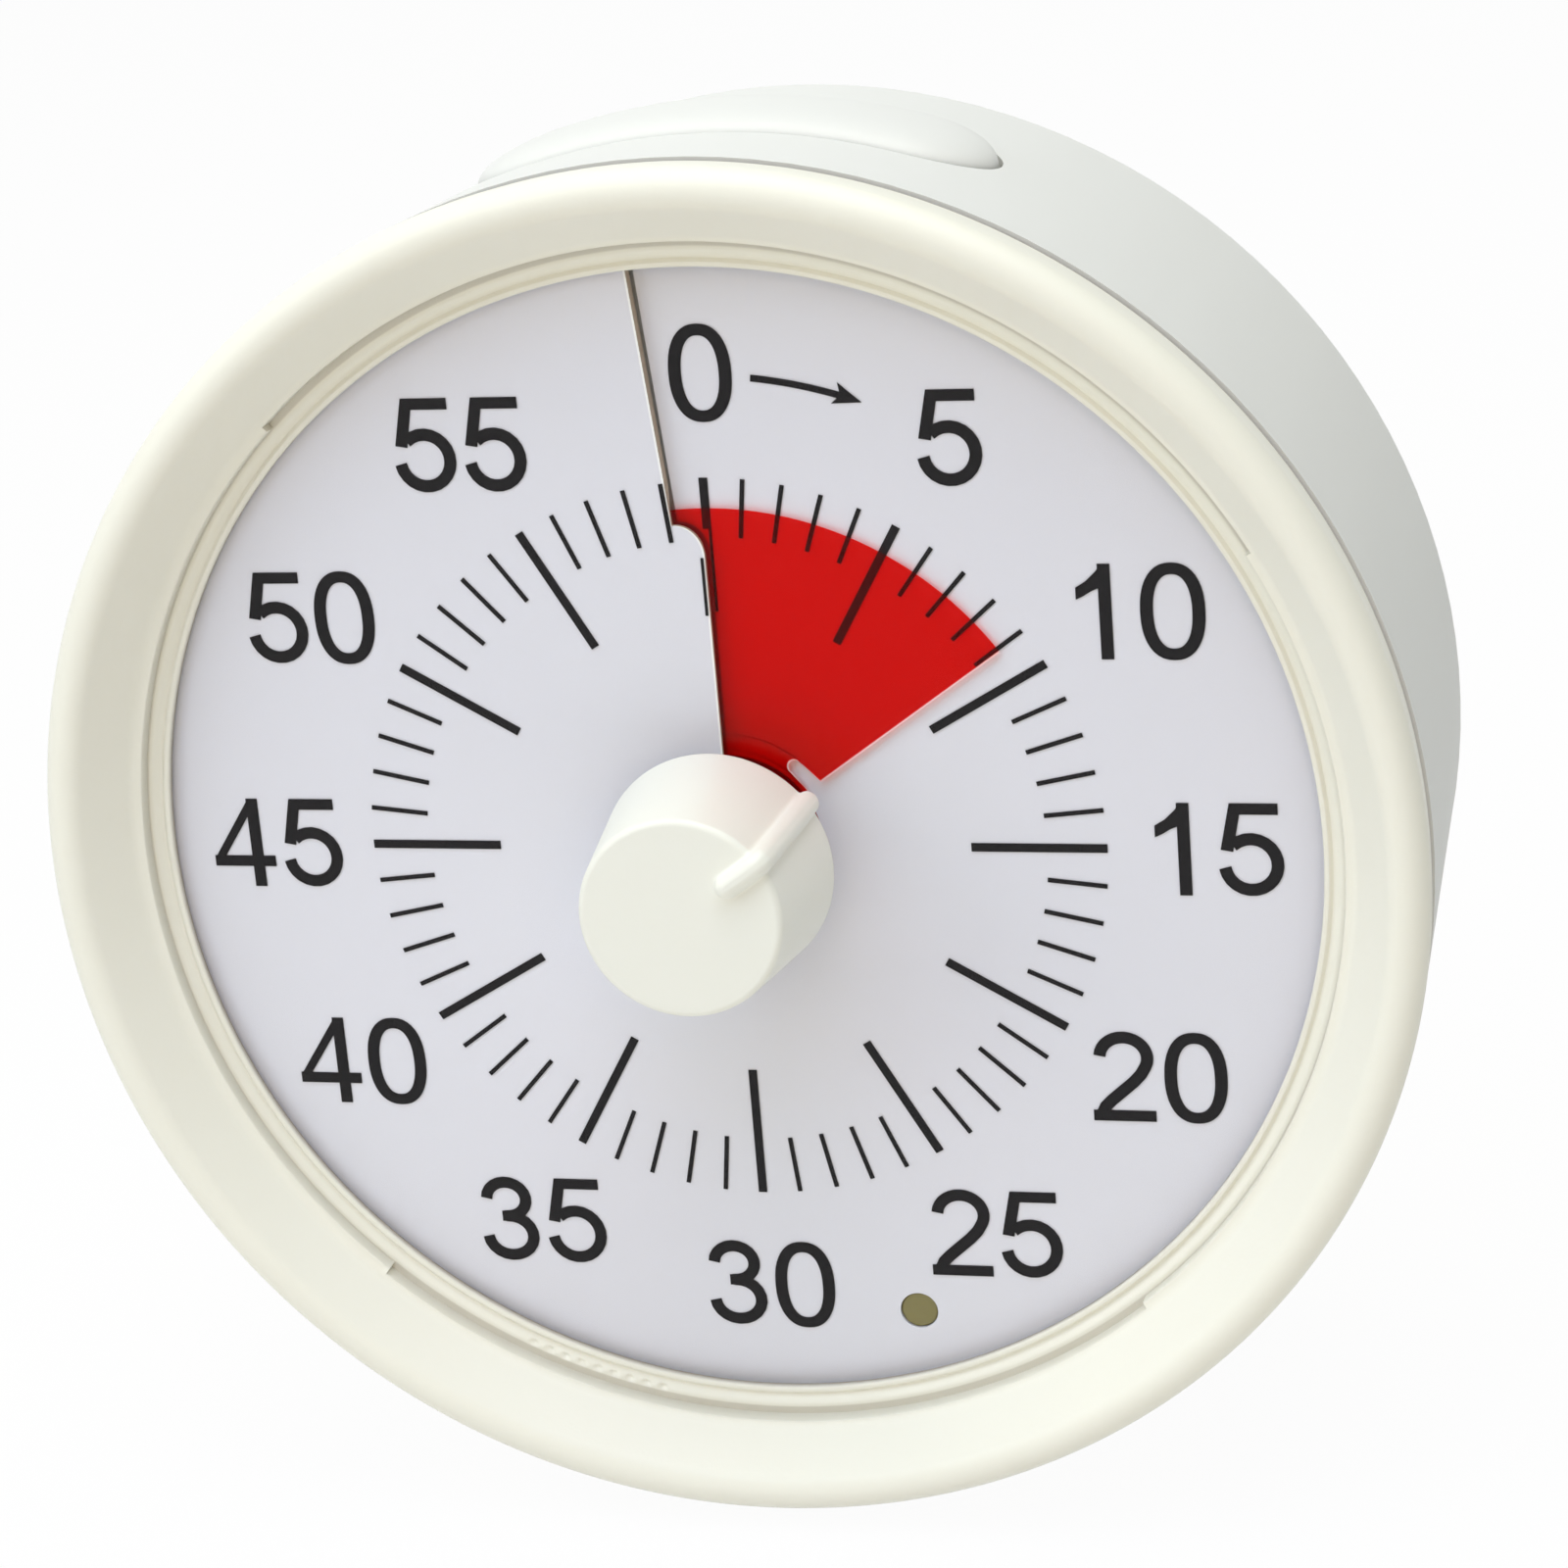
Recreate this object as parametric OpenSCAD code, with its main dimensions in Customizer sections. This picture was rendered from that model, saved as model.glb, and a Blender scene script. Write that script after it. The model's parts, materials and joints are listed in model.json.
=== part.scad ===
// Visual countdown timer for 60 minutes: a round case with a central knob that
// draws a red film out of a slit in the dial. The pieces are drawn in the dial's
// own frame, X to the right, Y up and Z towards the viewer, with Z = 0 at the low
// side of the slit. stand() sets the case on its feet with the dial facing -Y.
// The dial and the film are two sheets of one shallow screw thread: the film
// climbs by the same step as the dial in one turn, so it stays clear of it.

/* [Case] */
// Outer diameter of the bezel
bezel_d = 80; // [79:0.5:96]
// Height of the bezel's rim in front of the dial
bezel_front = 5.85; // [5.5:0.05:8]
// Rounding of the bezel's outer front edge
bezel_round = 1.3; // [0.8:0.1:1.6]
// Width of the bezel from its outside to the lens
bezel_face_w = 4.9; // [4.4:0.1:5.6]
// Slope of the bezel's face
face_slope = 53; // [48:1:56]
// How far the bezel's side draws in towards the seam
side_draft = 0.3; // [0.2:0.05:0.4]
// Height of the seam between bezel and housing in front of the dial
seam_height = 1.8; // [1.4:0.1:2.4]
// Width of the open seam
seam_gap = 0.3; // [0.2:0.05:0.5]
// How far the housing lies inside the bezel at the seam
seam_step = 0.15; // [0.1:0.05:0.5]
// How much the housing narrows in radius towards its back
case_taper = 1.2; // [0.8:0.05:1.5]
// Depth of the case behind the dial
case_depth = 28.3; // [28:0.1:36]
// Thickness of the housing's walls
wall = 2; // [1.8:0.1:2.3]
// Rounding of the housing's back edge
back_round = 2; // [1.2:0.1:2.4]
// Depth of the snap groove that holds the bezel in the housing
snap_depth = 0.25; // [0.15:0.05:0.4]

/* [Lens] */
// Thickness of the clear lens
lens_t = 0.9; // [0.7:0.05:1]
// Height of the lens's inner face above the dial
lens_height = 1.6; // [1.5:0.05:1.8]
// How far the lens's two locking tabs reach out
lens_tab = 0.35; // [0.2:0.05:0.5]
// Width of the ledge that carries the lens
lens_ledge = 0.9; // [0.7:0.1:1.2]
// Width of the seat at the ledge's outside, on which the lens rests
lens_seat = 0.2; // [0.1:0.05:0.3]
// Depth of the shallow cove between the seat and the lip
cove_depth = 0.3; // [0.1:0.05:0.35]

/* [Dial] */
// Thickness of the printed dial sheet
dial_t = 0.25; // [0.15:0.05:0.3]
// How far the bezel's inner lip covers the dial's edge
dial_cover = 0.5; // [0.3:0.1:0.8]
// Height that the dial and the film climb in one turn
dial_step = 0.8; // [0.75:0.05:0.9]
// Gap between the film's hub and the dial's hole around it
dial_hole_gap = 0.35; // [0.2:0.05:0.6]
// Width of the slit
slit_w = 0.12; // [0.08:0.02:0.3]
// Angle by which the outer part of the slit is set back
slit_shift = 5.25; // [4:0.25:6]
// Distance from the film's edge in to the start of the slit's rounded corner
corner_inset = 2.7; // [2.3:0.05:3.4]
// Size of the slit's rounded corner
slit_corner = 1.95; // [1.4:0.05:2.2]
// Distance from the numerals' middle in to the minute lines
tick_inset = 5.95; // [5:0.05:6.6]
// Length of a five-minute line
major_len = 7.75; // [6:0.05:9]
// Length of a minute line
minor_len = 3.4; // [2:0.1:4.5]
// Width of a five-minute line
major_w = 0.5; // [0.3:0.05:0.8]
// Width of a minute line
minor_w = 0.26; // [0.2:0.02:0.4]
// Distance from the bezel's lip in to the numerals' middle
numeral_inset = 6.25; // [5.2:0.05:6.8]
// Height of the numerals
numeral_h = 5.45; // [4.5:0.05:5.8]
// Stroke width of the numerals
numeral_w = 0.7; // [0.5:0.02:0.8]
// Distance from one digit to the next
digit_pitch = 4.14; // [4:0.02:4.6]
// Angle by which the single digits are set clear of the slit
single_shift = 0.75; // [0:0.05:1]
// Thickness of the printed ink
ink_t = 0.05; // [0.03:0.01:0.08]
// Diameter of the signal light's window
window_d = 2.25; // [2:0.05:2.8]
// Distance from the bezel's lip in to the signal light's middle
light_inset = 3.5; // [2.8:0.1:4.3]
// Angle of the signal light, clockwise from the top
light_angle = 163; // [161:1:166]

/* [Film] */
// How far the minute lines reach beyond the film
film_inset = 1.7; // [1.4:0.05:2.2]
// Thickness of the film
film_t = 0.15; // [0.1:0.01:0.2]
// Time that is set, in minutes
set_minutes = 9.1; // [0:0.1:60]
// Outer radius of the film's hub
hub_r = 5; // [4.5:0.1:5.3]
// Distance from the hub out to the notch behind the film's leading edge
notch_inset = 0.83; // [0.7:0.01:1.2]
// Width of the notch behind the film's leading edge
notch_w = 0.87; // [0.6:0.01:1.2]
// Angle over which the notch runs back
notch_angle = 14; // [8:1:18]

/* [Knob] */
// Height of the knob's face above the dial
knob_face_height = 12.1; // [10:0.1:16]
// Radius of the knob at its face
knob_face_r = 5.8; // [5.2:0.05:6]
// Radius of the knob at its foot
knob_foot_r = 6.75; // [6.4:0.05:7.2]
// Rounding of the knob's front edge
knob_round = 0.5; // [0.2:0.05:0.8]
// Gap between the knob's foot and the lens
knob_gap = 1.1; // [0.5:0.1:1.5]
// Radius of the knob's neck inside the lens's hole
knob_neck_r = 4.2; // [3.5:0.1:5]
// Gap between the neck and the lens
neck_gap = 0.7; // [0.4:0.1:1]
// Width of the raised pointer
pointer_w = 1.3; // [1:0.1:1.8]
// How far the pointer stands proud
pointer_proud = 0.8; // [0.4:0.1:1]
// Distance from the axis to the pointer's inner end
pointer_start = 2.9; // [1.5:0.1:4]
// Radius of the steel shaft
shaft_r = 1.5; // [1.2:0.05:1.8]
// Radial clearance of a shaft in its bore
running_fit = 0.05; // [0.03:0.01:0.08]

/* [Top button] */
// Length of the button across the case
button_l = 30.4; // [26:0.2:33]
// Width of the button from front to back
button_w = 9; // [8.6:0.1:10]
// Depth of the button's middle behind the dial
button_depth = 12; // [11.5:0.1:13]
// How far the button stands proud of the housing
button_proud = 1; // [0.9:0.05:1.5]
// Gap between the button and the housing
button_gap = 0.25; // [0.2:0.05:0.4]
// Thickness of the button's skin
button_skin = 1.2; // [1:0.1:1.4]
// Rounding of the button's edges
button_round = 0.8; // [0.4:0.1:1]

/* [Feet] */
// Gap between the two feet
feet_gap = 16; // [12:0.5:18]
// Width of a foot
foot_w = 6; // [5:0.5:7]
// Length of a foot
foot_l = 21; // [16:0.5:22]
// Depth of the feet's front end behind the dial
foot_front = 5; // [4:0.5:6]
// How far the rubber pads reach below the bezel
foot_drop = 1.2; // [0.8:0.1:3]
// Thickness of the rubber pads
pad_t = 0.8; // [0.5:0.1:1.2]

/* [Movement] */
// Side of the square movement
movement_side = 34; // [33:0.5:36]
// Thickness of the movement's plate and walls
movement_wall = 1; // [0.8:0.1:1.2]
// Gear module
gear_module = 0.3; // [0.28:0.01:0.31]
// Teeth of the centre wheel
centre_teeth = 60; // [60]
// Teeth of the third wheel
third_teeth = 48; // [48]
// Teeth of the second wheel
second_teeth = 40; // [40]
// Teeth of the two wheel pinions
pinion_teeth = 12; // [12]
// Teeth of the rotor's pinion
rotor_teeth = 10; // [10]
// Thickness of a wheel
wheel_t = 0.5; // [0.4:0.05:0.6]

/* [Electrics] */
// Diameter of the battery
battery_d = 14.3; // [13.8:0.1:14.5]
// Length of the battery's can
battery_l = 49.2; // [47:0.1:49.5]
// Height of the battery's middle below the dial's axis
battery_drop = 14; // [13.6:0.1:14.4]
// Thickness of the battery door
door_t = 1.6; // [1.2:0.1:1.8]
// Thickness of the circuit board
board_t = 1.6; // [1:0.1:2]
// Width of the circuit board
board_w = 40; // [38:0.5:41]
// Height of the circuit board
board_h = 29; // [27:0.5:30]
// Diameter of the buzzer
buzzer_d = 20; // [16:0.5:21]
// Diameter of a sound hole
sound_hole_d = 1.4; // [1:0.1:1.8]
// Travel of the volume slider to each side
slider_travel = 2; // [1.5:0.1:2.5]
// Diameter of a wire
wire_d = 0.8; // [0.6:0.1:1]

/* [Fasteners] */
// Diameter of the case screws' heads
case_head_d = 4; // [3.6:0.1:4.2]
// Diameter of the case screws
case_screw_d = 1.8; // [1.6:0.1:2]
// Length of the case screws under the head
case_screw_l = 6; // [5:0.5:7]

/* [Hidden] */
$fn = 96;

// Small sizes shared by several pieces
eps = 0.01;
snug = 0.1;
clear = 0.3;
fine_fn = 32;

// Case, from the outside in
bezel_r = bezel_d / 2;
axis_h = bezel_r + foot_drop;
case_shift = (knob_face_height + pointer_proud - case_depth) / 2;
housing_front_r = bezel_r - seam_step;
housing_back_r = housing_front_r - case_taper;
housing_front_z = seam_height - seam_gap;
back_z = -case_depth;
back_wall_z = back_z + wall;
function housing_r(depth) = housing_front_r
    - case_taper * (depth + housing_front_z) / (case_depth + housing_front_z);

// Lens and bezel, stacked above the dial
lens_r = bezel_r - bezel_face_w;
lens_front_z = lens_height + lens_t;
lip_r = lens_r - lens_ledge - 0.4;
lip_z = dial_step + 0.15;
lip_round = 0.15;
bead_r = lens_r - lens_ledge + 0.1;
bead_flank = 0.2;
bead_z = lens_height - snug;
face_hollow = 0.75;
knob_foot_z = lens_front_z + knob_gap;
knob_neck_z = dial_step + 0.75;
lens_hole_r = knob_neck_r + neck_gap;

// Rings on the dial, from the lip inwards
numeral_r = lip_r - numeral_inset;
light_r = lip_r - light_inset;
tick_r = numeral_r - tick_inset;
film_r = tick_r - film_inset;
slit_corner_r = film_r - corner_inset;

// Dial carrier, under the dial and clear of the film
dial_r = lip_r + dial_cover;
skirt_inner_r = dial_r + clear;
skirt_outer_r = housing_front_r - wall - clear - 0.1;
carrier_z = -dial_step;
carrier_t = 1.2;
carrier_back_z = carrier_z - carrier_t;
snap_z = (carrier_z + housing_front_z) / 2;
rim_r = film_r + slit_corner;
ledge_w = 2;
ledge_t = 2;

// Helical sheets
angle_steps = 60;
slit_top_r = slit_corner_r + slit_corner;
dial_hole_r = hub_r + dial_hole_gap;
notch_start_r = hub_r + notch_inset;
film_angle = set_minutes * 6;
film_lift = (dial_step - dial_t) / 2;
function climb(angle) = dial_step * angle / 360;
function corner_share(r) = min(1, max(0, (r - slit_corner_r) / slit_corner));
function slit_angle(r) = -slit_shift * (1 - sqrt(1 - pow(corner_share(r), 2)));
function polar(r, angle) = [r * sin(angle), r * cos(angle)];

// Screw posts around the case
post_angles = [50, 152, 208, 310];
post_r = 3;
post_ring_r = skirt_outer_r - 6.1;
boss_r = 2.4;
boss_end_z = carrier_back_z - 4.8;
post_end_z = boss_end_z - 0.2;
post_web = 2;
head_z = post_end_z - post_web;

// Button stack, from the housing's skin down to the bridge
button_skin_r = housing_r(button_depth);
button_top_r = button_skin_r + button_proud;
button_travel = 0.8;
flange_w = 1;
flange_top_r = housing_r(button_depth + button_w / 2 + flange_w) - wall - 0.2;
button_foot_r = flange_top_r - 0.8;
switch_side = 6;
switch_h = 3.3;
plunger_r = 1.2;
plunger_h = 1;
bridge_t = 1.2;
bridge_top_y = button_foot_r - 6.3;
bridge_w = 10;
switch_board_t = 1;
switch_board_w = 14;
switch_top_y = bridge_top_y + switch_board_t + switch_h;
spring_x = 10;
spring_r = 1.6;
spring_wire = 0.36;
spring_top_y = sqrt(pow(button_top_r - button_skin, 2) - pow(spring_x + spring_r, 2)) - 0.1;

// Feet
foot_x = (feet_gap + foot_w) / 2;
foot_bottom_y = -axis_h + pad_t;

// Movement levels, from the carrier backwards
plate_z = carrier_back_z - 0.2;
plate_back_z = plate_z - movement_wall;
centre_wheel_z = plate_back_z - 1.1;
third_wheel_z = centre_wheel_z - 1.2;
second_wheel_z = third_wheel_z - 1.2;
cam_z = second_wheel_z - 0.9;
cam_t = 0.6;
cover_inner_z = cam_z - 1.1;
cover_back_z = cover_inner_z - movement_wall;
pinion_extra = 0.2;
arbor_r = 0.5;
pivot_depth = 0.6;

// Gear train, laid out from the shaft by centre distances
function pitch_r(teeth) = gear_module * teeth / 2;
third_dist = pitch_r(centre_teeth + pinion_teeth);
second_dist = pitch_r(third_teeth + pinion_teeth);
rotor_dist = pitch_r(second_teeth + rotor_teeth);
third_dir = 134.7;
second_dir = 12.4;
rotor_dir = -21.1;
function along(dir, dist) = [dist * cos(dir), dist * sin(dir)];
third_pos = along(third_dir, third_dist);
second_pos = third_pos + along(second_dir, second_dist);
rotor_pos = second_pos + along(rotor_dir, rotor_dist);
rotor_r = 1.8;
stator_ring_r = rotor_r + 2;
stator_leg = 2.4;
stator_y = -12;
coil_l = 15;
coil_r = 2.2;
stator_t = 0.6;
stator_z = third_wheel_z - stator_t;
stator_right = rotor_pos[0] + 2 * stator_leg;

// Battery bay, in the back of the housing
bay_wall = 1;
bay_gap = 0.3;
bay_l = 56.8;
bay_w = battery_d + 0.9;
bay_y = -battery_drop;
battery_z = back_z + door_t + 0.2 + battery_d / 2;
bay_inner_z = battery_z + battery_d / 2 + bay_gap;
bay_front_z = bay_inner_z + bay_wall;
door_l = bay_l + 0.9;
door_w = bay_w + 0.9;
door_gap = 0.15;
nub_l = 1.2;
nub_r = 2.65;
contact_t = 0.4;
battery_shift = bay_l / 2 - contact_t - nub_l - 0.3 - battery_l / 2;
battery_back_x = battery_shift - battery_l / 2;

// Circuit board and what it carries
board_gap = 4.7;
board_z = back_wall_z + board_gap;
board_front_z = board_z + board_t;
board_y = bay_y + bay_w / 2 + bay_wall + 1.4 + board_h / 2;
standoff_x = board_w / 2 - 3;
standoff_y = board_h / 2 - 3;
standoff_r = 2;
board_screw_r = 0.8;
buzzer_margin = 3;
buzzer_pos = [buzzer_margin + (buzzer_d - board_w) / 2, board_y - 1.5];
buzzer_h = 4;
volume_l = 9;
volume_gap = 3.5;
volume_pos = [buzzer_pos[0] + (buzzer_d + volume_l) / 2 + volume_gap, board_y - 0.5];
volume_h = 4.4;
volume_t = 3;
slider_t = 0.8;
slider_knob_l = 3;
slider_knob_w = 2.4;

// Places the dial's frame in the standing frame
module stand() translate([0, case_shift, axis_h]) rotate([90, 0, 0]) children();

// Turns a plan of X and depth so that its height is Y
module upwards() rotate([-90, 0, 0]) children();

// A round bar along Z between two heights
module bar(r, z0, z1) translate([0, 0, min(z0, z1)]) cylinder(r = r, h = abs(z1 - z0));

// A plate with rounded corners, centred on the origin
module round_plate(w, h, r) {
    square([w - 2 * r, h], center = true);
    square([w, h - 2 * r], center = true);
    for (x = [-1, 1], y = [-1, 1])
        translate([x * (w / 2 - r), y * (h / 2 - r)]) circle(r, $fn = fine_fn);
}

// A plate between two heights
module slab(w, h, r, z0, z1)
    translate([0, 0, min(z0, z1)]) linear_extrude(abs(z1 - z0)) round_plate(w, h, r);

// The same points in the other order
function reversed(p) = [for (i = [len(p) - 1:-1:0]) p[i]];

// Points of a round corner
function corner(x, y, r, a0, a1, n = 6) =
    [for (i = [0:n]) let (a = a0 + (a1 - a0) * i / n) [x + r * cos(a), y + r * sin(a)]];

// Closed solid from a grid of rows whose points form closed rings
module ring_solid(rings) {
    n = len(rings[0]);
    m = len(rings);
    sides = [for (i = [0:m - 2], j = [0:n - 1]) let (k = (j + 1) % n, a = i * n, b = a + n)
        each [[a + j, b + j, b + k], [a + j, b + k, a + k]]];
    caps = [[for (j = [0:n - 1]) j], [for (j = [n - 1:-1:0]) (m - 1) * n + j]];
    polyhedron([for (ring = rings) each ring], concat(sides, caps));
}

// A thin sheet that climbs around the axis, from one cut edge to the other. Each
// radius has its own first and last angle. Points run over the top and back below.
module helical_sheet(radii, first, last, z_mid, t) {
    n = len(radii);
    m = 2 * n;
    function at(j, i, side) = let (a = first[j] + (last[j] - first[j]) * i / angle_steps)
        concat(polar(radii[j], a), [climb(a) + z_mid + side * t / 2]);
    points = [for (i = [0:angle_steps]) each concat(
        [for (j = [0:n - 1]) at(j, i, 1)], [for (j = [n - 1:-1:0]) at(j, i, -1)])];
    sides = [for (i = [0:angle_steps - 1], j = [0:m - 1]) let (k = (j + 1) % m, a = i * m, b = a + m)
        each [[a + j, b + j, b + k], [a + j, b + k, a + k]]];
    ends = [for (j = [0:n - 2]) let (e = angle_steps * m, q = [j, j + 1, m - 2 - j, m - 1 - j])
        each [[q[0], q[1], q[2]], [q[0], q[2], q[3]],
              [e + q[2], e + q[1], e + q[0]], [e + q[3], e + q[2], e + q[0]]]];
    polyhedron(points, concat(sides, ends));
}

// Bezel: a broad face that slopes in to the lens, a ledge with a low bead under the lens,
// and a skirt that snaps into the housing and clamps the dial carrier
module front_bezel() color("#e6e2d2") stand() {
    nose = [bezel_r - bezel_round, bezel_front - bezel_round];
    draft_angle = atan(side_draft / (nose[1] - seam_height));
    slope_end = nose + bezel_round * [-sin(face_slope), cos(face_slope)];
    hollow = face_hollow / sin(face_slope);
    hollow_x = lens_r + face_hollow;
    hollow_z = slope_end[1] - (slope_end[0] - hollow_x) * tan(face_slope);
    difference() {
        rotate_extrude() polygon(concat(
            [[bezel_r - side_draft, seam_height]],
            corner(nose[0], nose[1], bezel_round, -draft_angle, 90 + face_slope, 9),
            corner(lens_r, hollow_z + hollow * cos(face_slope), hollow, face_slope - 90, -90, 5),
            [[lens_r, lens_height], [lens_r - lens_seat, lens_height], [bead_r, lens_height - cove_depth],
             [bead_r - bead_flank, bead_z], [lip_r + lip_round, bead_z], [lip_r, bead_z - lip_round],
             [lip_r, lip_z], [skirt_inner_r, lip_z], [skirt_inner_r, carrier_z + snug],
             [skirt_outer_r, carrier_z + snug]],
            snap_ridge(skirt_outer_r, housing_front_r - wall - skirt_outer_r + snap_depth - snug, snap_depth),
            [[skirt_outer_r, seam_height]]));
        for (tab = [[-44, 60], [140, 221]]) lens_tab_cut(tab);
    }
}

// Points of a low ridge around the bezel's skirt, or of the groove that takes it
function snap_ridge(r, proud, half) = [for (p = [[0, -half - proud], [proud, -half], [proud, half],
    [0, half + proud]]) [r + p[0], snap_z + p[1]]];

// Pocket in the bezel for one of the lens's tabs
module lens_tab_cut(tab) translate([0, 0, lens_height])
    rotate([0, 0, 90 - tab[1]]) rotate_extrude(angle = tab[1] - tab[0])
        translate([lens_r - 0.1, 0]) square([lens_tab + 0.1, lens_t + 1]);

// Lens: a clear disc with two long locking tabs and a hole for the knob
module lens() color("#eef2f466") stand() difference() {
    union() {
        bar(lens_r - snug, lens_height, lens_front_z);
        for (tab = [[-43.5, 59.5], [140.5, 220.5]]) translate([0, 0, lens_height])
            rotate([0, 0, 90 - tab[1]]) rotate_extrude(angle = tab[1] - tab[0])
                translate([lens_r - 2, 0]) square([lens_tab - snug + 2, lens_t]);
    }
    bar(lens_hole_r, lens_height - 1, lens_front_z + 1);
}

// Housing: a tapered cup with the battery bay, screw posts, button opening,
// slider slot, sound holes and two feet in one moulding
module rear_housing() color("#ecedea") stand() difference() {
    union() {
        housing_shell();
        housing_inside();
        for (x = [-1, 1]) foot_block(x);
    }
    housing_openings();
}

module housing_shell() rotate_extrude() polygon(concat(
    [[0, back_z]],
    corner(housing_back_r - back_round, back_z + back_round, back_round, -90, 0, 8),
    [[housing_front_r, housing_front_z], [housing_front_r - wall, housing_front_z]],
    reversed(snap_ridge(housing_front_r - wall, snap_depth, snap_depth)),
    [[housing_front_r - wall, carrier_back_z - snug],
     [skirt_outer_r - ledge_w, carrier_back_z - snug],
     [skirt_outer_r - ledge_w, carrier_back_z - snug - ledge_t],
     [housing_front_r - wall - 0.1, carrier_back_z - snug - ledge_t - 1.5],
     [housing_back_r - wall, back_wall_z], [0, back_wall_z]]));

// Posts, standoffs, bay walls and the bridge under the button, cut to the shell
module housing_inside() intersection() {
    bar(housing_back_r - wall / 2, back_z + wall / 2, carrier_back_z - snug);
    union() {
        for (a = post_angles) translate(polar(post_ring_r, a)) bar(post_r, back_z, post_end_z);
        for (x = [-1, 1], y = [-1, 1]) translate([x * standoff_x, board_y + y * standoff_y])
            bar(standoff_r, back_z, board_z);
        translate([0, bay_y]) slab(bay_l + 2 * bay_wall, bay_w + 2 * bay_wall, 1, back_z, bay_front_z);
        translate([-bezel_r, bridge_top_y - bridge_t, -button_depth - bridge_w / 2])
            cube([bezel_d, bridge_t, bridge_w]);
    }
}

// One foot: a block along the case's underside, cut back to the shell's inside
module foot_block(side) difference() {
    translate([side * foot_x - foot_w / 2, foot_bottom_y, -foot_front - foot_l])
        cube([foot_w, housing_back_r / 2, foot_l]);
    bar(housing_back_r - wall / 2, 0, back_z - 1);
}

module housing_openings() {
    for (a = post_angles) translate(polar(post_ring_r, a)) {
        bar(case_screw_d / 2 + 0.15, back_z, post_end_z + 1);
        bar(case_head_d / 2 + 0.15, back_z - 1, head_z);
    }
    for (x = [-1, 1], y = [-1, 1]) translate([x * standoff_x, board_y + y * standoff_y])
        bar(board_screw_r + 0.02, board_z - 4, board_z + 1);
    translate([0, bay_y]) {
        slab(bay_l, bay_w, 0.6, back_z - 1, bay_inner_z);
        slab(door_l + 2 * door_gap, door_w + 2 * door_gap, 1.4, back_z - 1, back_z + door_t + 0.1);
    }
    for (x = [-1, 1]) translate([x * (bay_l / 2 - 0.5), bay_y + (bay_w + bay_wall) / 2, battery_z - contact_tab_z])
        cube([1.2, 3, 4], center = true);
    button_shape(button_gap, bridge_top_y + 2, bezel_r + 5);
    translate(buzzer_pos) sound_holes(back_z - 1, back_wall_z + 1);
    translate(volume_pos)
        slab(slider_knob_l + 2 * slider_travel + 0.6, slider_knob_w + 0.6, 0.6, back_z - 1, back_wall_z + 1);
}

// A rosette of round holes
module sound_holes(z0, z1) {
    bar(sound_hole_d / 2, z0, z1);
    for (ring = [1, 2], i = [1:6 * ring])
        translate(polar(3.2 * ring, i * 60 / ring)) bar(sound_hole_d / 2, z0, z1);
}

// Rubber pads under the feet
module foot_pads() color("#3a3c3e") stand() for (x = [-1, 1])
    translate([x * foot_x, -axis_h, -foot_front - foot_l / 2]) upwards()
        linear_extrude(pad_t) round_plate(foot_w - 0.8, foot_l - 0.8, 1.6);

// Radii at which the dial's cut bends, from the hub to the rim
dial_radii = [dial_hole_r, 11.5, slit_corner_r, for (s = [0.4, 0.65, 0.85, 0.96]) slit_corner_r + slit_corner * s,
    slit_top_r, 27, dial_r];
slit_gap = 360 * slit_w / (2 * PI * slit_top_r);

// Dial: a thin printed sheet, slit once and twisted up by one step
module dial() color("#dddce3") stand() difference() {
    helical_sheet(dial_radii, [for (r = dial_radii) slit_angle(r) + slit_gap / 2],
        [for (r = dial_radii) slit_angle(r) + 360 - slit_gap / 2], -dial_t / 2, dial_t);
    translate(polar(light_r, light_angle)) bar(window_d / 2, -dial_step, 2 * dial_step);
}

// Lies flat on the climbing dial at an angle, tilted to its slope there
ink_lift = 0.015;
module on_dial(angle, r) translate(concat(polar(r, angle), [climb(angle) + ink_lift]))
    rotate([0, 0, -angle]) rotate([0, -atan(dial_step / (2 * PI * r)), 0]) children();

// One line of the minute ring. The lines on the slit are cut in two halves.
module tick(minute, r0, r1, x0, x1) on_dial(minute * 6, (r0 + r1) / 2)
    translate([x0, (r0 - r1) / 2, 0]) cube([x1 - x0, r1 - r0, ink_t]);

module minute_ring() {
    half = major_w / 2;
    gap = slit_w / 2 + 0.02;
    for (m = [1:58]) let (major = m % 5 == 0, w = (major ? major_w : minor_w) / 2)
        tick(m, tick_r - (major ? major_len : minor_len), tick_r, -w, w);
    tick(0, slit_corner_r + 0.75 * slit_corner, tick_r, -half, gap - eps);
    tick(0, tick_r - major_len, tick_r, gap, half);
    tick(59.97, tick_r - major_len, slit_corner_r, -half, -gap);
    beside_slit = slit_top_r * (6 - slit_shift) * PI / 180 - gap;
    tick(59, tick_r - minor_len, slit_top_r - 0.3, -minor_w / 2, minor_w / 2);
    tick(59, slit_top_r - 0.3, tick_r, -minor_w / 2, min(minor_w / 2, beside_slit));
}

// Outline of a pen stroke along points, mitred where it bends
function unit(v) = v / norm(v);
function normal(v) = [-v[1], v[0]];
function mitre(p, i) = let (
        n = len(p) - 1,
        n0 = normal(unit(i > 0 ? p[i] - p[i - 1] : p[1] - p[0])),
        n1 = normal(unit(i < n ? p[i + 1] - p[i] : p[n] - p[n - 1])),
        m = unit(n0 + n1))
    m / (m * n0);
module pen(p, w = numeral_w) {
    n = len(p) - 1;
    polygon(concat([for (i = [0:n]) p[i] + mitre(p, i) * w / 2],
                   [for (i = [n:-1:0]) p[i] - mitre(p, i) * w / 2]));
}

// Points of an elliptic bow
function bow(x, y, rx, ry, a0, a1, n = 16) =
    [for (i = [0:n]) let (a = a0 + (a1 - a0) * i / n) [x + rx * cos(a), y + ry * sin(a)]];

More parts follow.
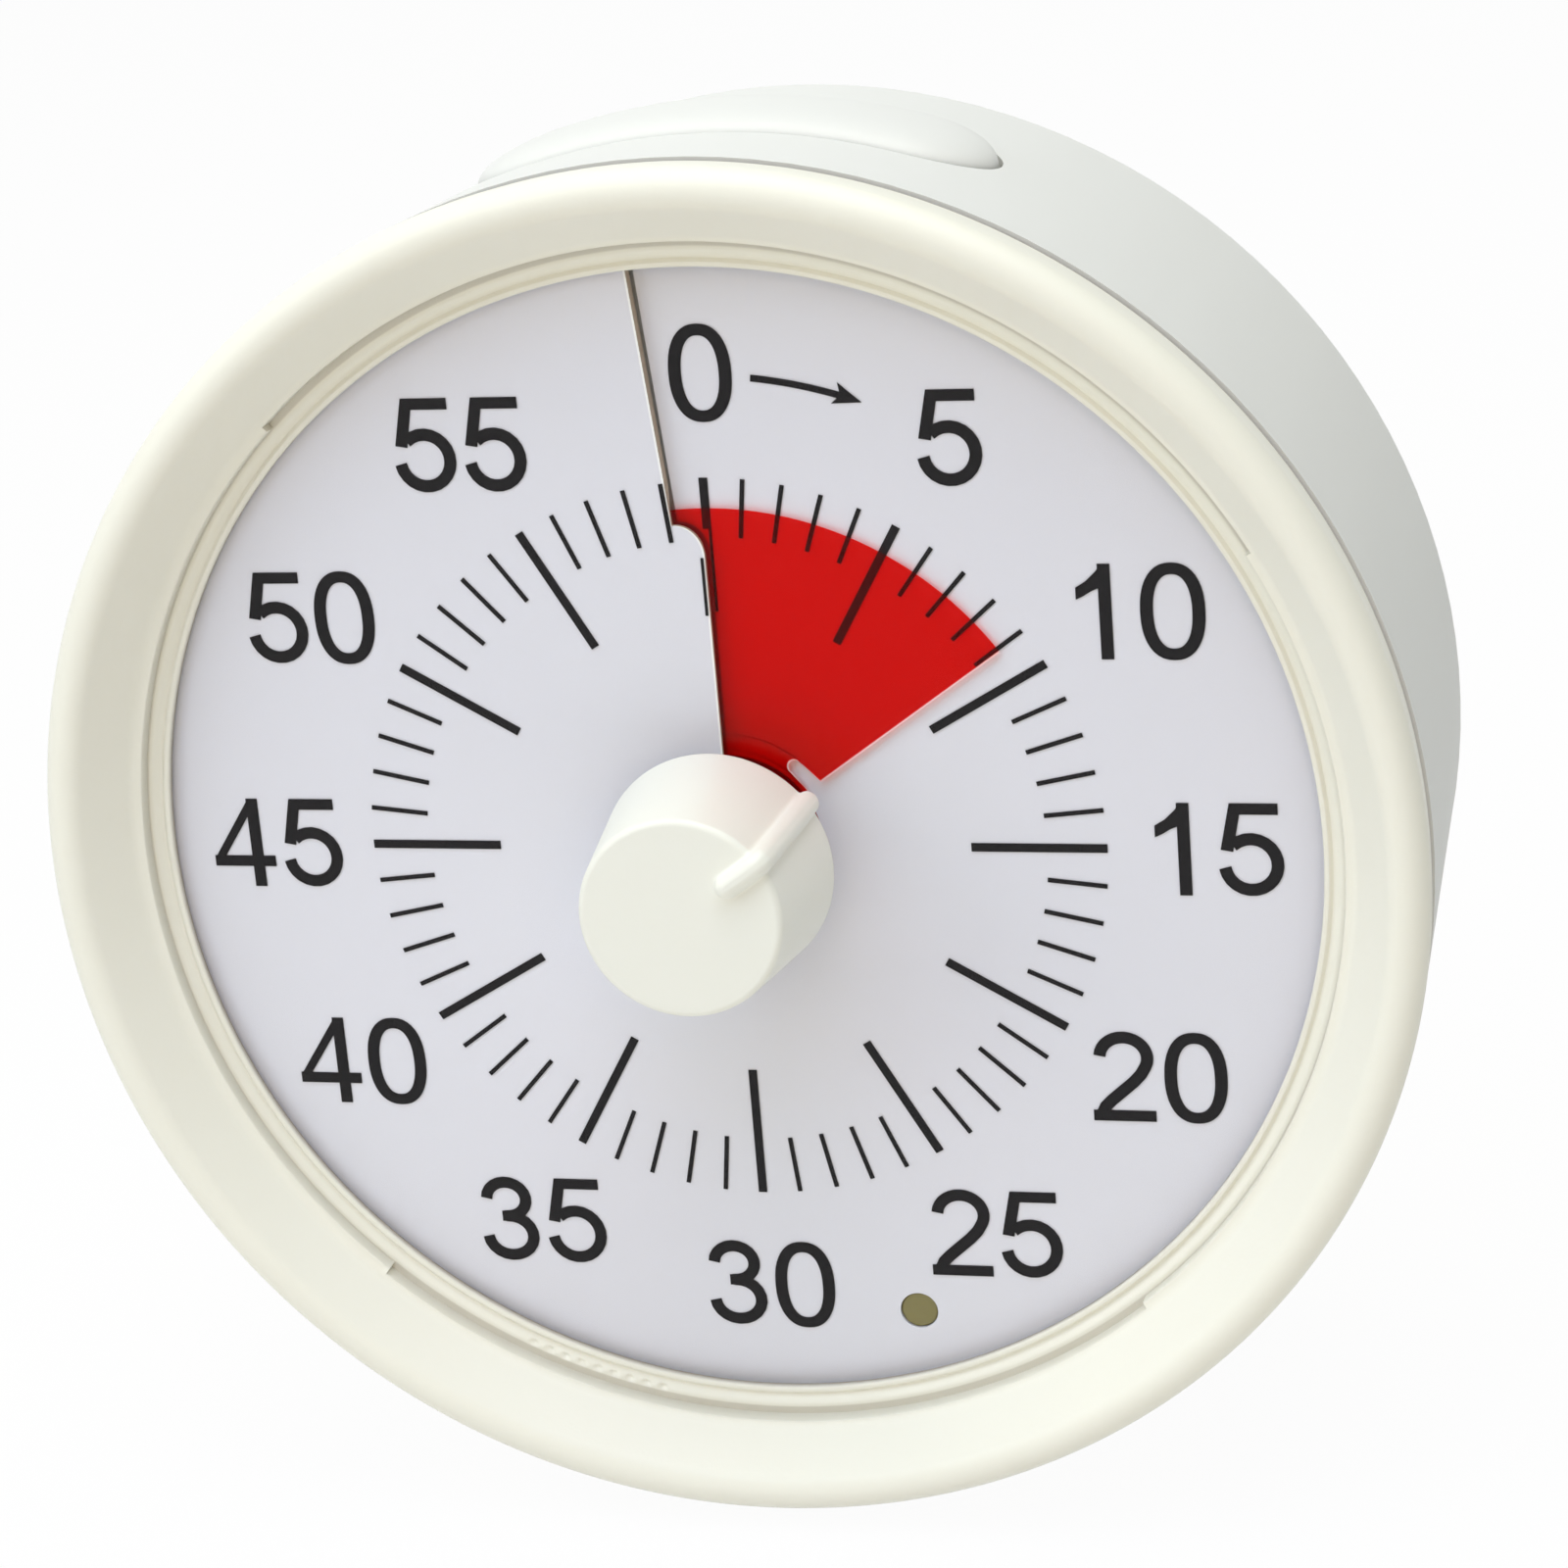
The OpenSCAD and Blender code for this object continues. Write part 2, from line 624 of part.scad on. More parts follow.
// Flattened oval with fuller shoulders than an ellipse
module oval(rx, ry) polygon([for (i = [0:39]) let (a = i * 9, c = cos(a), s = sin(a))
    [rx * sign(c) * pow(abs(c), 0.87), ry * sign(s) * pow(abs(s), 0.87)]]);

// A rectangle from one corner to the other
module block(x0, y0, x1, y1) translate([x0, y0]) square([x1 - x0, y1 - y0]);

// Plain digits, 5.45 high, centred on their own middle
digit_h = 5.45;
digit_top = digit_h / 2;
module digit(d, w) {
    bar_w = w * 0.93;
    if (d == 0) difference() {
        oval(1.8, digit_top + 0.05);
        oval(1.8 - w * 1.03, digit_top + 0.05 - bar_w);
    }
    if (d == 1) {
        block(0.78 - w, -digit_top, 0.78, digit_top);
        polygon([[0.5, digit_top], [0.3, digit_top], [-0.05, 2.27], [-0.6, 1.74], [-1.18, 1.38],
                 [-1.18, 1.4 - w], [-0.75, 1.6 - w], [-0.3, 1.88 - w], [0.5, 2.2 - w]]);
    }
    if (d == 2) {
        pen(concat(bow(0.04, digit_top - w / 2 - 1.2, 1.37, 1.24, 176, -25),
                   [[1, 0.16], [0.55, -0.33], [-0.1, -0.9], [-0.75, -1.47], [-1.12, -1.86], [-1.38, -2.4]]), w);
        block(-1.83, -digit_top, 1.77, bar_w - digit_top);
    }
    if (d == 3) {
        low = w / 2 + 0.02 - digit_top;
        high = digit_top + 0.02 - w / 2;
        pen(bow(-0.08, (high + 0.19) / 2, 1.22, (high - 0.19) / 2, 178, -96), w);
        pen(bow(0, (low + 0.19) / 2, 1.41, (0.19 - low) / 2, 96, -177), w);
        block(-0.41, 0.19 - bar_w / 2, 0.1, 0.19 + bar_w / 2);
    }
    if (d == 4) {
        block(1.04 - w, -digit_top, 1.04, digit_top);
        block(-2, -1.47, 1.77, bar_w - 1.47);
        polygon([[-2, -1.3], [-2, -1], [0.48, digit_top], [0.8, digit_top], [0.8, 1.9], [0.4, 1.7],
                 [-1.32, bar_w - 1.5], [-1.32, -1.3]]);
    }
    if (d == 5) {
        pen(bow(0, -0.86, 1.48, 1.5, 132, -172, 20), w);
        block(-1, digit_top - bar_w, 1.58, digit_top);
        polygon([[-1.12, digit_top], [-0.6, digit_top], [-0.42 - w * 0.2, digit_top - bar_w],
                 [-0.72 - w * 0.2, 0.58], [-0.98, -0.12], [-1.68, 0]]);
    }
}

// One numeral, upright, with its middle on the numeral ring
module numeral(m) {
    angle = m * 6 + (m < 10 ? single_shift : 0);
    on_dial(angle, numeral_r) rotate([0, 0, angle]) linear_extrude(ink_t) scale(numeral_h / digit_h) {
        w = numeral_w * digit_h / numeral_h;
        if (m < 10) digit(m, w);
        else {
            translate([-digit_pitch / 2, 0]) digit(floor(m / 10), w);
            translate([digit_pitch / 2, 0]) digit(m % 10, w);
        }
    }
}

// Arrow from the 0 towards the 5
module direction_arrow() {
    shaft_r1 = numeral_r - 0.15;
    head_l = 1.6;
    on_dial(13.4, shaft_r1) linear_extrude(ink_t) translate([0, -shaft_r1]) {
        pen([for (a = [-6.7:1:5.3]) polar(shaft_r1, a)], 0.38);
        rotate([0, 0, -6.6]) translate([0, shaft_r1])
            polygon([[0, 0], [-head_l, 0.62], [-head_l * 0.78, 0], [-head_l, -0.62]]);
    }
}

// Printed lines, numerals and arrow
module dial_marks() color("#2a2c2e") stand() {
    minute_ring();
    for (m = [0:5:55]) numeral(m);
    direction_arrow();
}

// One rib of the carrier, as high as the dial's underside at its angle
rib_count = 24;
rib_w = 0.8;
module carrier_rib(angle) rotate([0, 0, -angle]) translate([-rib_w / 2, rim_r, carrier_z - 0.5])
    cube([rib_w, dial_r - rim_r, climb(angle) - dial_t - 0.03 - carrier_z + 0.5]);

// Carrier: a floor under the film, ribs that follow the climbing dial, and screw bosses
module dial_carrier() color("#d6d7d4") stand() difference() {
    union() {
        bar(skirt_outer_r, carrier_back_z, carrier_z);
        for (i = [0:rib_count - 1]) carrier_rib((i + 0.5) * 360 / rib_count);
        for (a = post_angles) translate(polar(post_ring_r, a)) bar(boss_r, carrier_z - 0.2, boss_end_z);
    }
    bar(centre_bush_r + 0.02, carrier_back_z - 1, 1);
    translate(polar(light_r, light_angle)) bar(light_body_r + 0.15, carrier_back_z - 1, 2 * dial_step);
    for (a = post_angles) translate(polar(post_ring_r, a)) bar(case_screw_d / 2 - 0.05, boss_end_z - 1, carrier_back_z);
    movement_corners() bar(movement_screw_r + 0.05, carrier_back_z - 1, 1);
}

// Signal light: a body with a flat nose in the dial's window, a flange and two leads
light_body_r = 1.45;
light_shoulder_z = climb(light_angle) - dial_t - 0.05;
light_flange_z = light_shoulder_z - 4.6;
light_nose_r = window_d / 2 - 0.07;
light_nose_z = climb(light_angle) - 0.1;
light_lead_z = light_flange_z - 3.2;
module signal_light() color("#8f8a3c") stand() translate(polar(light_r, light_angle)) {
    bar(light_body_r, light_flange_z, light_shoulder_z);
    bar(light_nose_r, light_shoulder_z - 0.1, light_nose_z);
    bar(light_body_r + 0.35, light_flange_z - 0.8, light_flange_z);
    for (x = [-0.6, 0.6]) translate([x, 0]) bar(0.2, light_lead_z, light_flange_z);
}

// Red film: a full turn of the same thread as the dial, half a step above it, with
// a notch that runs back from its leading edge beside the hub
notch_r = notch_start_r + notch_w / 2;
film_radii = [hub_r + 0.02, notch_start_r - 0.05, for (t = [-90:30:90]) notch_r + notch_w / 2 * sin(t),
    notch_start_r + notch_w + 0.05, 13, film_r];
function notch_back(r) = abs(r - notch_r) > notch_w / 2 + 0.01 ? 0
    : notch_angle + 180 / PI * sqrt(max(0, pow(notch_w / 2, 2) - pow(r - notch_r, 2))) / notch_r;
module red_film() color("#d81a16dd") stand()
    helical_sheet(film_radii, [for (r = film_radii) film_angle - 360 + slit_gap],
        [for (r = film_radii) film_angle - notch_back(r)], film_lift, film_t);

// Hub that carries the film and slides on the shaft's flat
hub_top_z = climb(film_angle) + film_lift + film_t / 2;
hub_bottom_z = climb(film_angle - 360) + film_lift - film_t / 2;
shaft_flat = shaft_r - 0.4;
module film_hub() color("#b51612") stand() difference() {
    bar(hub_r, hub_bottom_z, hub_top_z);
    flatted_bar(shaft_r + running_fit, shaft_flat + running_fit, hub_bottom_z - 1, hub_top_z + 1);
}

// A round bar with one flat
module flatted_bar(r, flat, z0, z1) intersection() {
    bar(r, z0, z1);
    translate([-2 * r, -2 * r, z0]) cube([4 * r, 2 * r + flat, z1 - z0]);
}

// Knob: a tapered cap on a neck, with a round rib as its pointer
knob_bore_top_z = knob_face_height - 3.5;
module knob() color("#f3f1e4") stand() {
    edge_r = knob_face_r - knob_round;
    difference() {
        rotate_extrude() polygon(concat(
            [[0, knob_neck_z], [knob_neck_r, knob_neck_z], [knob_neck_r, knob_foot_z], [knob_foot_r, knob_foot_z]],
            corner(edge_r, knob_face_height - knob_round, knob_round, 0, 90, 5),
            [[0, knob_face_height]]));
        flatted_bar(shaft_r + 0.02, shaft_flat + 0.02, knob_neck_z - 1, knob_bore_top_z);
    }
    rotate([0, 0, 90 - film_angle]) intersection() {
        pointer();
        bar(2 * knob_foot_r, knob_foot_z, knob_face_height + 2 * pointer_proud);
    }
}

// Rib along +X: over the face, round the edge and down to the foot
module pointer() {
    w = pointer_w / 2;
    lift = pointer_proud - w;
    top = knob_face_height + lift;
    rib([[pointer_start + w, top], [knob_face_r - 0.35, top], [knob_face_r + lift, knob_face_height - 0.6],
         [knob_foot_r + lift, knob_foot_z - 0.2]], w);
}

// A round rib through points of X and Z
module rib(p, r) for (i = [0:len(p) - 2]) let (d = p[i + 1] - p[i]) translate([p[i][0], 0, p[i][1]]) {
    sphere(r * 1.002, $fn = fine_fn);
    rotate([0, atan2(d[0], d[1]), 0]) cylinder(r = r, h = norm(d), $fn = fine_fn);
}

// Shaft: pressed into the knob, through hub, bush and movement
shaft_top_z = knob_bore_top_z - 0.2;
shaft_end_z = cover_inner_z - pivot_depth;
module knob_shaft() color("#c9cbcd") stand() {
    flatted_bar(shaft_r, shaft_flat, carrier_z - 0.02, shaft_top_z);
    bar(shaft_r, cam_z - cam_t, carrier_z);
    bar(shaft_r - 0.5, shaft_end_z, cam_z - cam_t);
}

// Plan of the button with an extra margin, extruded upwards between two heights
module button_shape(extra, y0, y1) translate([0, y0, 0]) upwards() linear_extrude(y1 - y0)
    translate([0, button_depth]) {
        half = (button_l - button_w) / 2;
        for (x = [-half, half]) translate([x, 0]) circle(button_w / 2 + extra);
        square([2 * half, button_w + 2 * extra], center = true);
    }

// Ring about the dial's axis, as deep as the button, with rounded outer edges
module button_ring(r0, r1, extra, round) {
    z0 = -button_depth - button_w / 2 - extra;
    z1 = -button_depth + button_w / 2 + extra;
    rotate_extrude() polygon(concat([[r0, z0]],
        corner(r1 - round, z0 + round, round, -90, 0),
        corner(r1 - round, z1 - round, round, 0, 90), [[r0, z1]]));
}

// Button: a curved cap with a retaining flange, hollow below, and a switch stem
module top_button() color("#efefec") stand() {
    difference() {
        union() {
            intersection() {
                button_ring(button_foot_r, button_top_r, 0, button_round);
                button_shape(0, bridge_top_y + 2, bezel_r + 5);
            }
            intersection() {
                button_ring(button_foot_r, flange_top_r, flange_w, 0.01);
                button_shape(flange_w, bridge_top_y + 2, bezel_r + 5);
            }
        }
        intersection() {
            bar(button_top_r - button_skin, -button_depth - button_w, -button_depth + button_w);
            button_shape(-button_skin, bridge_top_y, bezel_r + 5);
        }
    }
    translate([0, switch_top_y + plunger_h, -button_depth]) upwards()
        cylinder(r = plunger_r, h = button_top_r - button_skin / 2 - switch_top_y - plunger_h);
}

// A round wire wound into a spring along +Z
module coil_spring(r0, r1, wire, h, turns, sides = 5, per_turn = 10) {
    n = turns * per_turn;
    ring_solid([for (i = [0:n]) let (t = i / n, a = 360 * turns * t, r = r0 + (r1 - r0) * t)
        [for (j = [sides - 1:-1:0]) let (b = 360 * j / sides, q = r - wire / 2 + wire / 2 * cos(b))
            [q * cos(a), q * sin(a), wire / 2 + (h - wire) * t + wire / 2 * sin(b)]]]);
}

// Two return springs under the button's ends
module button_springs() color("#b9bcc0") stand() for (x = [-spring_x, spring_x])
    translate([x, bridge_top_y + 0.05, -button_depth]) upwards()
        coil_spring(spring_r, spring_r, spring_wire, spring_top_y - bridge_top_y - 0.1, 4);

// Plunger of the touch switch, which the button's stem rests on
module switch_plunger() color("#2e3033") stand()
    translate([0, switch_top_y - 0.4, -button_depth]) upwards() cylinder(r = plunger_r, h = plunger_h + 0.4);

// Switch body with a bore for its plunger
module touch_switch() color("#6d7074") stand()
    translate([0, bridge_top_y + switch_board_t, -button_depth]) upwards() difference() {
        linear_extrude(switch_h) round_plate(switch_side, switch_side, 0.5);
        translate([0, 0, switch_h - 1.6]) cylinder(r = plunger_r + running_fit, h = 3);
    }

// Small board that carries the touch switch on the bridge
module switch_board() color("#3d7a4c") stand()
    translate([0, bridge_top_y, -button_depth]) upwards()
        linear_extrude(switch_board_t) round_plate(switch_board_w, bridge_w - 0.6, 0.6);

// Places something at each of the movement's four screws
movement_screw_r = 0.6;
movement_corner = movement_side / 2 - 2.2;
module movement_corners() for (x = [-1, 1], y = [-1, 1])
    translate([x * movement_corner, y * movement_corner]) children();

// Arbors of the train: position and level of each
module at_arbors() for (p = [third_pos, second_pos, rotor_pos]) translate(p) children();

// Front plate of the movement, with the pivot holes
centre_bush_r = shaft_r + 1.2;
module movement_plate() color("#e9e7df") stand() difference() {
    slab(movement_side, movement_side, 2, plate_z, plate_back_z);
    bar(centre_bush_r + 0.02, plate_back_z - 1, plate_z + 1);
    at_arbors() bar(arbor_r + running_fit, plate_back_z - 1, plate_back_z + pivot_depth + 0.1);
    movement_corners() bar(movement_screw_r + 0.1, plate_back_z - 1, plate_z + 1);
}

// Cover of the movement: a shallow box with corner columns
module movement_cover() color("#e2e0d8") stand() difference() {
    slab(movement_side, movement_side, 2, plate_back_z - 0.02, cover_back_z);
    difference() {
        slab(movement_side - 2 * movement_wall, movement_side - 2 * movement_wall, 1.4, plate_back_z + 1, cover_inner_z);
        movement_corners() bar(1.7, plate_back_z, cover_inner_z);
    }
    at_arbors() bar(arbor_r + running_fit, cover_inner_z + 1, cover_inner_z - pivot_depth - 0.1);
    bar(shaft_r - 0.5 + running_fit, cover_inner_z + 1, cover_inner_z - pivot_depth - 0.1);
    movement_corners() bar(movement_screw_r + 0.1, plate_back_z + 1, cover_back_z - 1);
    translate([coil_exit_x, coil_exit_y]) slab(3.4, 1.6, 0.6, cover_inner_z + 1, cover_back_z - 1);
}

// Brass bush in which the shaft turns
module centre_bush() color("#c9a64a") stand() difference() {
    bar(centre_bush_r, plate_back_z, carrier_z - 0.02);
    bar(shaft_r + running_fit, plate_back_z - 1, carrier_z + 1);
}

// Gear outline with straight-flanked, slim teeth, one of them at the given angle
function gear_points(teeth, at) = [for (i = [0:teeth - 1]) let (
        p = pitch_r(teeth), root = p - 1.2 * gear_module, tip = p + 0.75 * gear_module,
        a = at + i * 360 / teeth, deg = 180 / PI,
        w_root = 0.27 * gear_module * 3 * deg / root, w_tip = 0.09 * gear_module * 3 * deg / tip)
    each [along(a - w_root, root), along(a - w_tip, tip), along(a + w_tip, tip), along(a + w_root, root)]];

module gear(teeth, at, z0, z1)
    translate([0, 0, min(z0, z1)]) linear_extrude(abs(z1 - z0)) polygon(gear_points(teeth, at));

// A pair meshes when a tooth of one and a gap of the other face each other
function mesh_gap(dir, teeth) = dir + 180 + 180 / teeth;

module centre_wheel() color("#d7b65c") stand() difference() {
    gear(centre_teeth, third_dir, centre_wheel_z, centre_wheel_z - wheel_t);
    bar(shaft_r + 0.02, centre_wheel_z - 2, centre_wheel_z + 1);
    for (i = [0:4]) rotate([0, 0, i * 72 + 20]) translate([pitch_r(centre_teeth) * 0.58, 0])
        bar(pitch_r(centre_teeth) * 0.2, centre_wheel_z - 2, centre_wheel_z + 1);
}

// Spring washer that lets the knob slip against the wheel
module clutch_spring() color("#c0c2c4") stand() difference() {
    bar(shaft_r + 1.9, plate_back_z - 0.45, plate_back_z - 0.25);
    bar(shaft_r + 0.02, plate_back_z - 2, plate_back_z + 1);
    for (i = [0:2]) rotate([0, 0, i * 120]) translate([shaft_r + 1.2, 0])
        bar(0.4, plate_back_z - 2, plate_back_z + 1);
}

// An arbor from pivot to pivot
module arbor() bar(arbor_r, plate_back_z + pivot_depth, cover_inner_z - pivot_depth);

module third_wheel() color("#efe9d8") stand() translate(third_pos) {
    arbor();
    gear(pinion_teeth, mesh_gap(third_dir, pinion_teeth), centre_wheel_z + pinion_extra,
        third_wheel_z + eps);
    gear(third_teeth, second_dir, third_wheel_z, third_wheel_z - wheel_t);
}

module second_wheel() color("#efe9d8") stand() translate(second_pos) {
    arbor();
    gear(pinion_teeth, mesh_gap(second_dir, pinion_teeth), third_wheel_z + pinion_extra,
        second_wheel_z + eps);
    gear(second_teeth, rotor_dir, second_wheel_z, second_wheel_z - wheel_t);
}

module rotor() color("#55585c") stand() translate(rotor_pos) {
    arbor();
    bar(rotor_r, third_wheel_z + 0.1, second_wheel_z + 0.5);
    gear(rotor_teeth, mesh_gap(rotor_dir, rotor_teeth), second_wheel_z + pinion_extra,
        second_wheel_z - wheel_t - pinion_extra);
}

// Stator: a plate around the rotor with a leg on each side of the coil's core
module stator() color("#a9acb0") stand() translate([0, 0, stator_z]) linear_extrude(stator_t) difference() {
    union() {
        translate(rotor_pos) circle(stator_ring_r);
        translate([stator_right - stator_leg, stator_y - 1]) square([stator_leg, rotor_pos[1] - stator_y + 1]);
        translate([rotor_pos[0], rotor_pos[1] - 1.5]) square([stator_right - rotor_pos[0], 3]);
        translate([stator_right - coil_l - 3, stator_y - 1]) square([coil_l + 3, 2]);
    }
    translate(rotor_pos) circle(rotor_r + 0.35);
}

// Coil wound on the stator's long leg
coil_x = stator_right - stator_leg - 1 - coil_l / 2;
coil_exit_x = stator_right - stator_leg - 2;
coil_exit_y = -4;
module coil() color("#b4622d") stand() translate([coil_x, stator_y, stator_z + stator_t / 2])
    rotate([0, 90, 0]) difference() {
        translate([0, 0, -coil_l / 2]) cylinder(r = coil_r, h = coil_l);
        cube([stator_t + 0.1, 2.1, coil_l + 1], center = true);
    }

// Cam that lets the alarm contact close at zero
module alarm_cam() color("#e9e7df") stand() difference() {
    bar(shaft_r + 1.9, cam_z, cam_z - cam_t);
    bar(shaft_r + 0.02, cam_z - 2, cam_z + 1);
    rotate([0, 0, 90 + film_angle]) translate([shaft_r + 2.3, 0]) bar(1.1, cam_z - 2, cam_z + 1);
}

// Leaf contact beside the cam
module alarm_contact() color("#cfae55") stand() translate([0, 0, cam_z - cam_t + 0.05])
    linear_extrude(cam_t - 0.1) {
        translate([-shaft_r - 1.9 - 0.35, -9]) square([0.2, 13]);
        translate([-shaft_r - 1.9 - 2.35, -9.2]) square([2.2, 0.8]);
    }

// Circuit board on its four standoffs
module circuit_board() color("#3d7a4c") stand() translate([0, board_y]) difference() {
    slab(board_w, board_h, 1, board_z + 0.02, board_front_z);
    for (x = [-1, 1], y = [-1, 1]) translate([x * standoff_x, y * standoff_y])
        bar(board_screw_r + 0.15, board_z - 1, board_front_z + 1);
}

// Chip, crystal and capacitors on the front of the board
module board_components() color("#2c2e31") stand() translate([0, board_y, board_front_z + 0.02]) {
    translate([-6, 0, 0]) linear_extrude(1.6) round_plate(8, 5, 0.4);
    translate([8, 5, 0]) linear_extrude(2.4) round_plate(4.4, 1.9, 0.9);
    for (x = [2, 8]) translate([x, -6, 0]) cylinder(r = 2, h = 4.5);
    for (i = [0:4]) translate([-14 + i * 3, 8, 0]) linear_extrude(0.6) square([1.6, 0.9], center = true);
}

// Buzzer on the back of the board, behind the sound holes
module buzzer() color("#34363a") stand() translate(buzzer_pos) difference() {
    bar(buzzer_d / 2, board_z, board_z - buzzer_h);
    bar(1.2, board_z - buzzer_h - 1, board_z - buzzer_h + 1);
}

// Body of the volume switch
module volume_switch() color("#8b8e92") stand() translate(volume_pos)
    slab(volume_l, volume_h, 0.3, board_z, board_z - volume_t);

// Slider of the volume switch: a plate inside the wall and a ribbed key in its slot
slider_plate_z = back_wall_z + 0.15;
module volume_slider() color("#d9dad7") stand() translate(volume_pos) {
    slab(volume_l, volume_h, 0.6, slider_plate_z, slider_plate_z + slider_t);
    slab(slider_knob_l, slider_knob_w, 0.3, back_z + 0.3, slider_plate_z + 0.1);
    for (x = [-0.9, 0, 0.9]) translate([x, 0]) slab(0.3, slider_knob_w - 0.4, 0.1, back_z + 0.05, back_z + 0.35);
}

// Places an X-wise cylinder's frame at the battery's middle
module in_bay() translate([0, bay_y, battery_z]) rotate([0, 90, 0]) children();

module battery() color("#c98b2b") stand() in_bay() {
    translate([0, 0, battery_back_x]) cylinder(r = battery_d / 2, h = battery_l);
    translate([0, 0, battery_back_x + battery_l]) cylinder(r = nub_r, h = nub_l);
}

// Solder tab of a battery contact, which reaches through the bay's wall
contact_tab_z = 2;
contact_tab_l = 2;
module contact_tab() cube([3, contact_tab_l, contact_t], center = true);

// Negative contact: a plate with a conical spring
module battery_spring() color("#c2c4c6") stand() in_bay() {
    x0 = -bay_l / 2 + 0.05;
    translate([0, 0, x0 + contact_t / 2]) cube([10, 11, contact_t], center = true);
    translate([contact_tab_z, (bay_w + bay_wall) / 2, x0 + contact_t / 2]) contact_tab();
    translate([0, 0, x0 + contact_t]) coil_spring(4.4, 2.4, 0.7, battery_back_x - x0 - contact_t - 0.05, 3);
}

// Positive contact: a plate with a raised boss
module battery_plate() color("#c2c4c6") stand() in_bay() {
    x0 = bay_l / 2 - contact_t / 2 - 0.05;
    translate([0, 0, x0]) cube([10, 11, contact_t], center = true);
    translate([contact_tab_z, (bay_w + bay_wall) / 2, x0]) contact_tab();
}

// Battery door with a thumb recess and grip ribs
module battery_door() color("#ecedea") stand() translate([0, bay_y]) difference() {
    slab(door_l, door_w, 1.25, back_z, back_z + door_t);
    translate([door_l / 2 - 6, 0]) slab(6, 9, 2, back_z - 1, back_z + 0.6);
    for (i = [0:3]) translate([door_l / 2 - 13 - 2 * i, 0]) slab(0.8, 9, 0.3, back_z - 1, back_z + 0.35);
}

// A pan-head screw along Z, head at z and shank towards +Z
module screw(z, head_r, head_h, shank_r, length) difference() {
    union() {
        bar(head_r, z - head_h, z);
        bar(shank_r, z - eps, z + length);
    }
    for (a = [0, 90]) rotate([0, 0, a]) translate([-head_r * 0.6, -0.2, z - head_h - 1])
        cube([head_r * 1.2, 0.4, 1 + head_h * 0.5]);
}

module case_screws() color("#9a9da1") stand() for (a = post_angles) translate(polar(post_ring_r, a))
    screw(head_z - 0.02, case_head_d / 2, 1.5, case_screw_d / 2 - 0.1, case_screw_l);

module movement_screws() color("#9a9da1") stand() movement_corners()
    screw(cover_back_z - 0.02, 1.1, 0.6, movement_screw_r, carrier_back_z + 0.9 - cover_back_z);

module board_screws() color("#9a9da1") stand() for (x = [-1, 1], y = [-1, 1])
    translate([x * standoff_x, board_y + y * standoff_y]) mirror([0, 0, 1])
        screw(-board_front_z - 0.02, 1.6, 1, board_screw_r, board_t + 3);

// A wire through points, as a tube of eight sides
function path_dir(p, i) = let (n = len(p) - 1)
    unit(i == 0 ? p[1] - p[0] : i == n ? p[n] - p[n - 1] : unit(p[i + 1] - p[i]) + unit(p[i] - p[i - 1]));
module wire(p, sides = 8) ring_solid([for (i = [0:len(p) - 1]) let (
        d = path_dir(p, i), u = unit(cross(d, [0.31, 0.9, 0.3])), v = cross(d, u))
    [for (j = [sides - 1:-1:0]) p[i] + wire_d / 2 * (u * cos(360 * j / sides) + v * sin(360 * j / sides))]]);

// Smooths a hand-made route by two rounds of corner cutting
function cut_corners(p) = let (n = len(p) - 1) concat([p[0]],
    [for (i = [0:n - 1]) each [p[i] * 0.75 + p[i + 1] * 0.25, p[i] * 0.25 + p[i + 1] * 0.75]], [p[n]]);
module soft_wire(p) wire(cut_corners(p));

// Wires from the signal light, under the movement, to the board
board_foot_y = board_y - board_h / 2;
gallery_z = (cover_back_z + bay_front_z) / 2;
module light_wires() color("#c33a2f") stand() for (s = [-1, 1]) {
    lead = polar(light_r, light_angle) + [0.6 * s, 0];
    x = lead[0] + s * 0.6;
    beside_coil_wires = coil_exit_x + 3.3 + s * 1.2;
    soft_wire([concat(lead, [light_lead_z]), [x, lead[1] + 2, gallery_z + 0.3], [x, lead[1] + 6, gallery_z],
        [beside_coil_wires, bay_y, gallery_z], [beside_coil_wires, board_foot_y + 1.3, gallery_z],
        [beside_coil_wires, board_foot_y + 1.8, board_front_z + 4],
        [beside_coil_wires, board_foot_y + 2, board_front_z + 0.1]]);
}

// Wires from the battery contacts to the board
module battery_wires() color("#2f3236") stand() for (s = [-1, 1]) {
    tab = [s * (bay_l / 2 - 0.3), bay_y + (bay_w + bay_wall + contact_tab_l) / 2 + 0.1, battery_z - contact_tab_z];
    soft_wire([tab, tab + [0, 1, 0], tab + [0, 2.5, 2], [s * (board_w / 2 + 2), board_foot_y + 2, board_front_z + 3],
        [s * (board_w / 2 - 1.6), board_foot_y + 6, board_front_z + 2],
        [s * (board_w / 2 - 3), board_foot_y + 7, board_front_z + 0.3]]);
}

// Wires from the coil, out of the movement's cover, to the board
module coil_wires() color("#b4622d") stand() for (s = [-1, 1]) {
    x = coil_exit_x + s * 0.7;
    soft_wire([[x, stator_y + coil_r + 0.5, stator_z - 0.6], [x, coil_exit_y - 2, cover_inner_z + 0.9],
        [x, coil_exit_y, cover_inner_z], [x, coil_exit_y, cover_back_z - 2],
        [x, board_foot_y + 4.5, board_front_z + 4], [x, board_foot_y + 5, board_front_z + 0.1]]);
}

// Wires from the switch board to the main board
module switch_wires() color("#2f3236") stand() for (s = [-1, 1]) {
    edge = -button_depth - bridge_w / 2 - 0.2;
    top = bridge_top_y + switch_board_t;
    soft_wire([[s * 2, top + wire_d / 2 + 0.02, edge + 1.6], [s * 2, top + wire_d / 2 + 0.02, edge - 0.4],
        [s * 2, top - 1, edge - 1.2], [s * 2, board_y + board_h / 2 - 1, edge - 1],
        [s * 2, board_y + board_h / 2 - 2.5, board_front_z + 0.1]]);
}

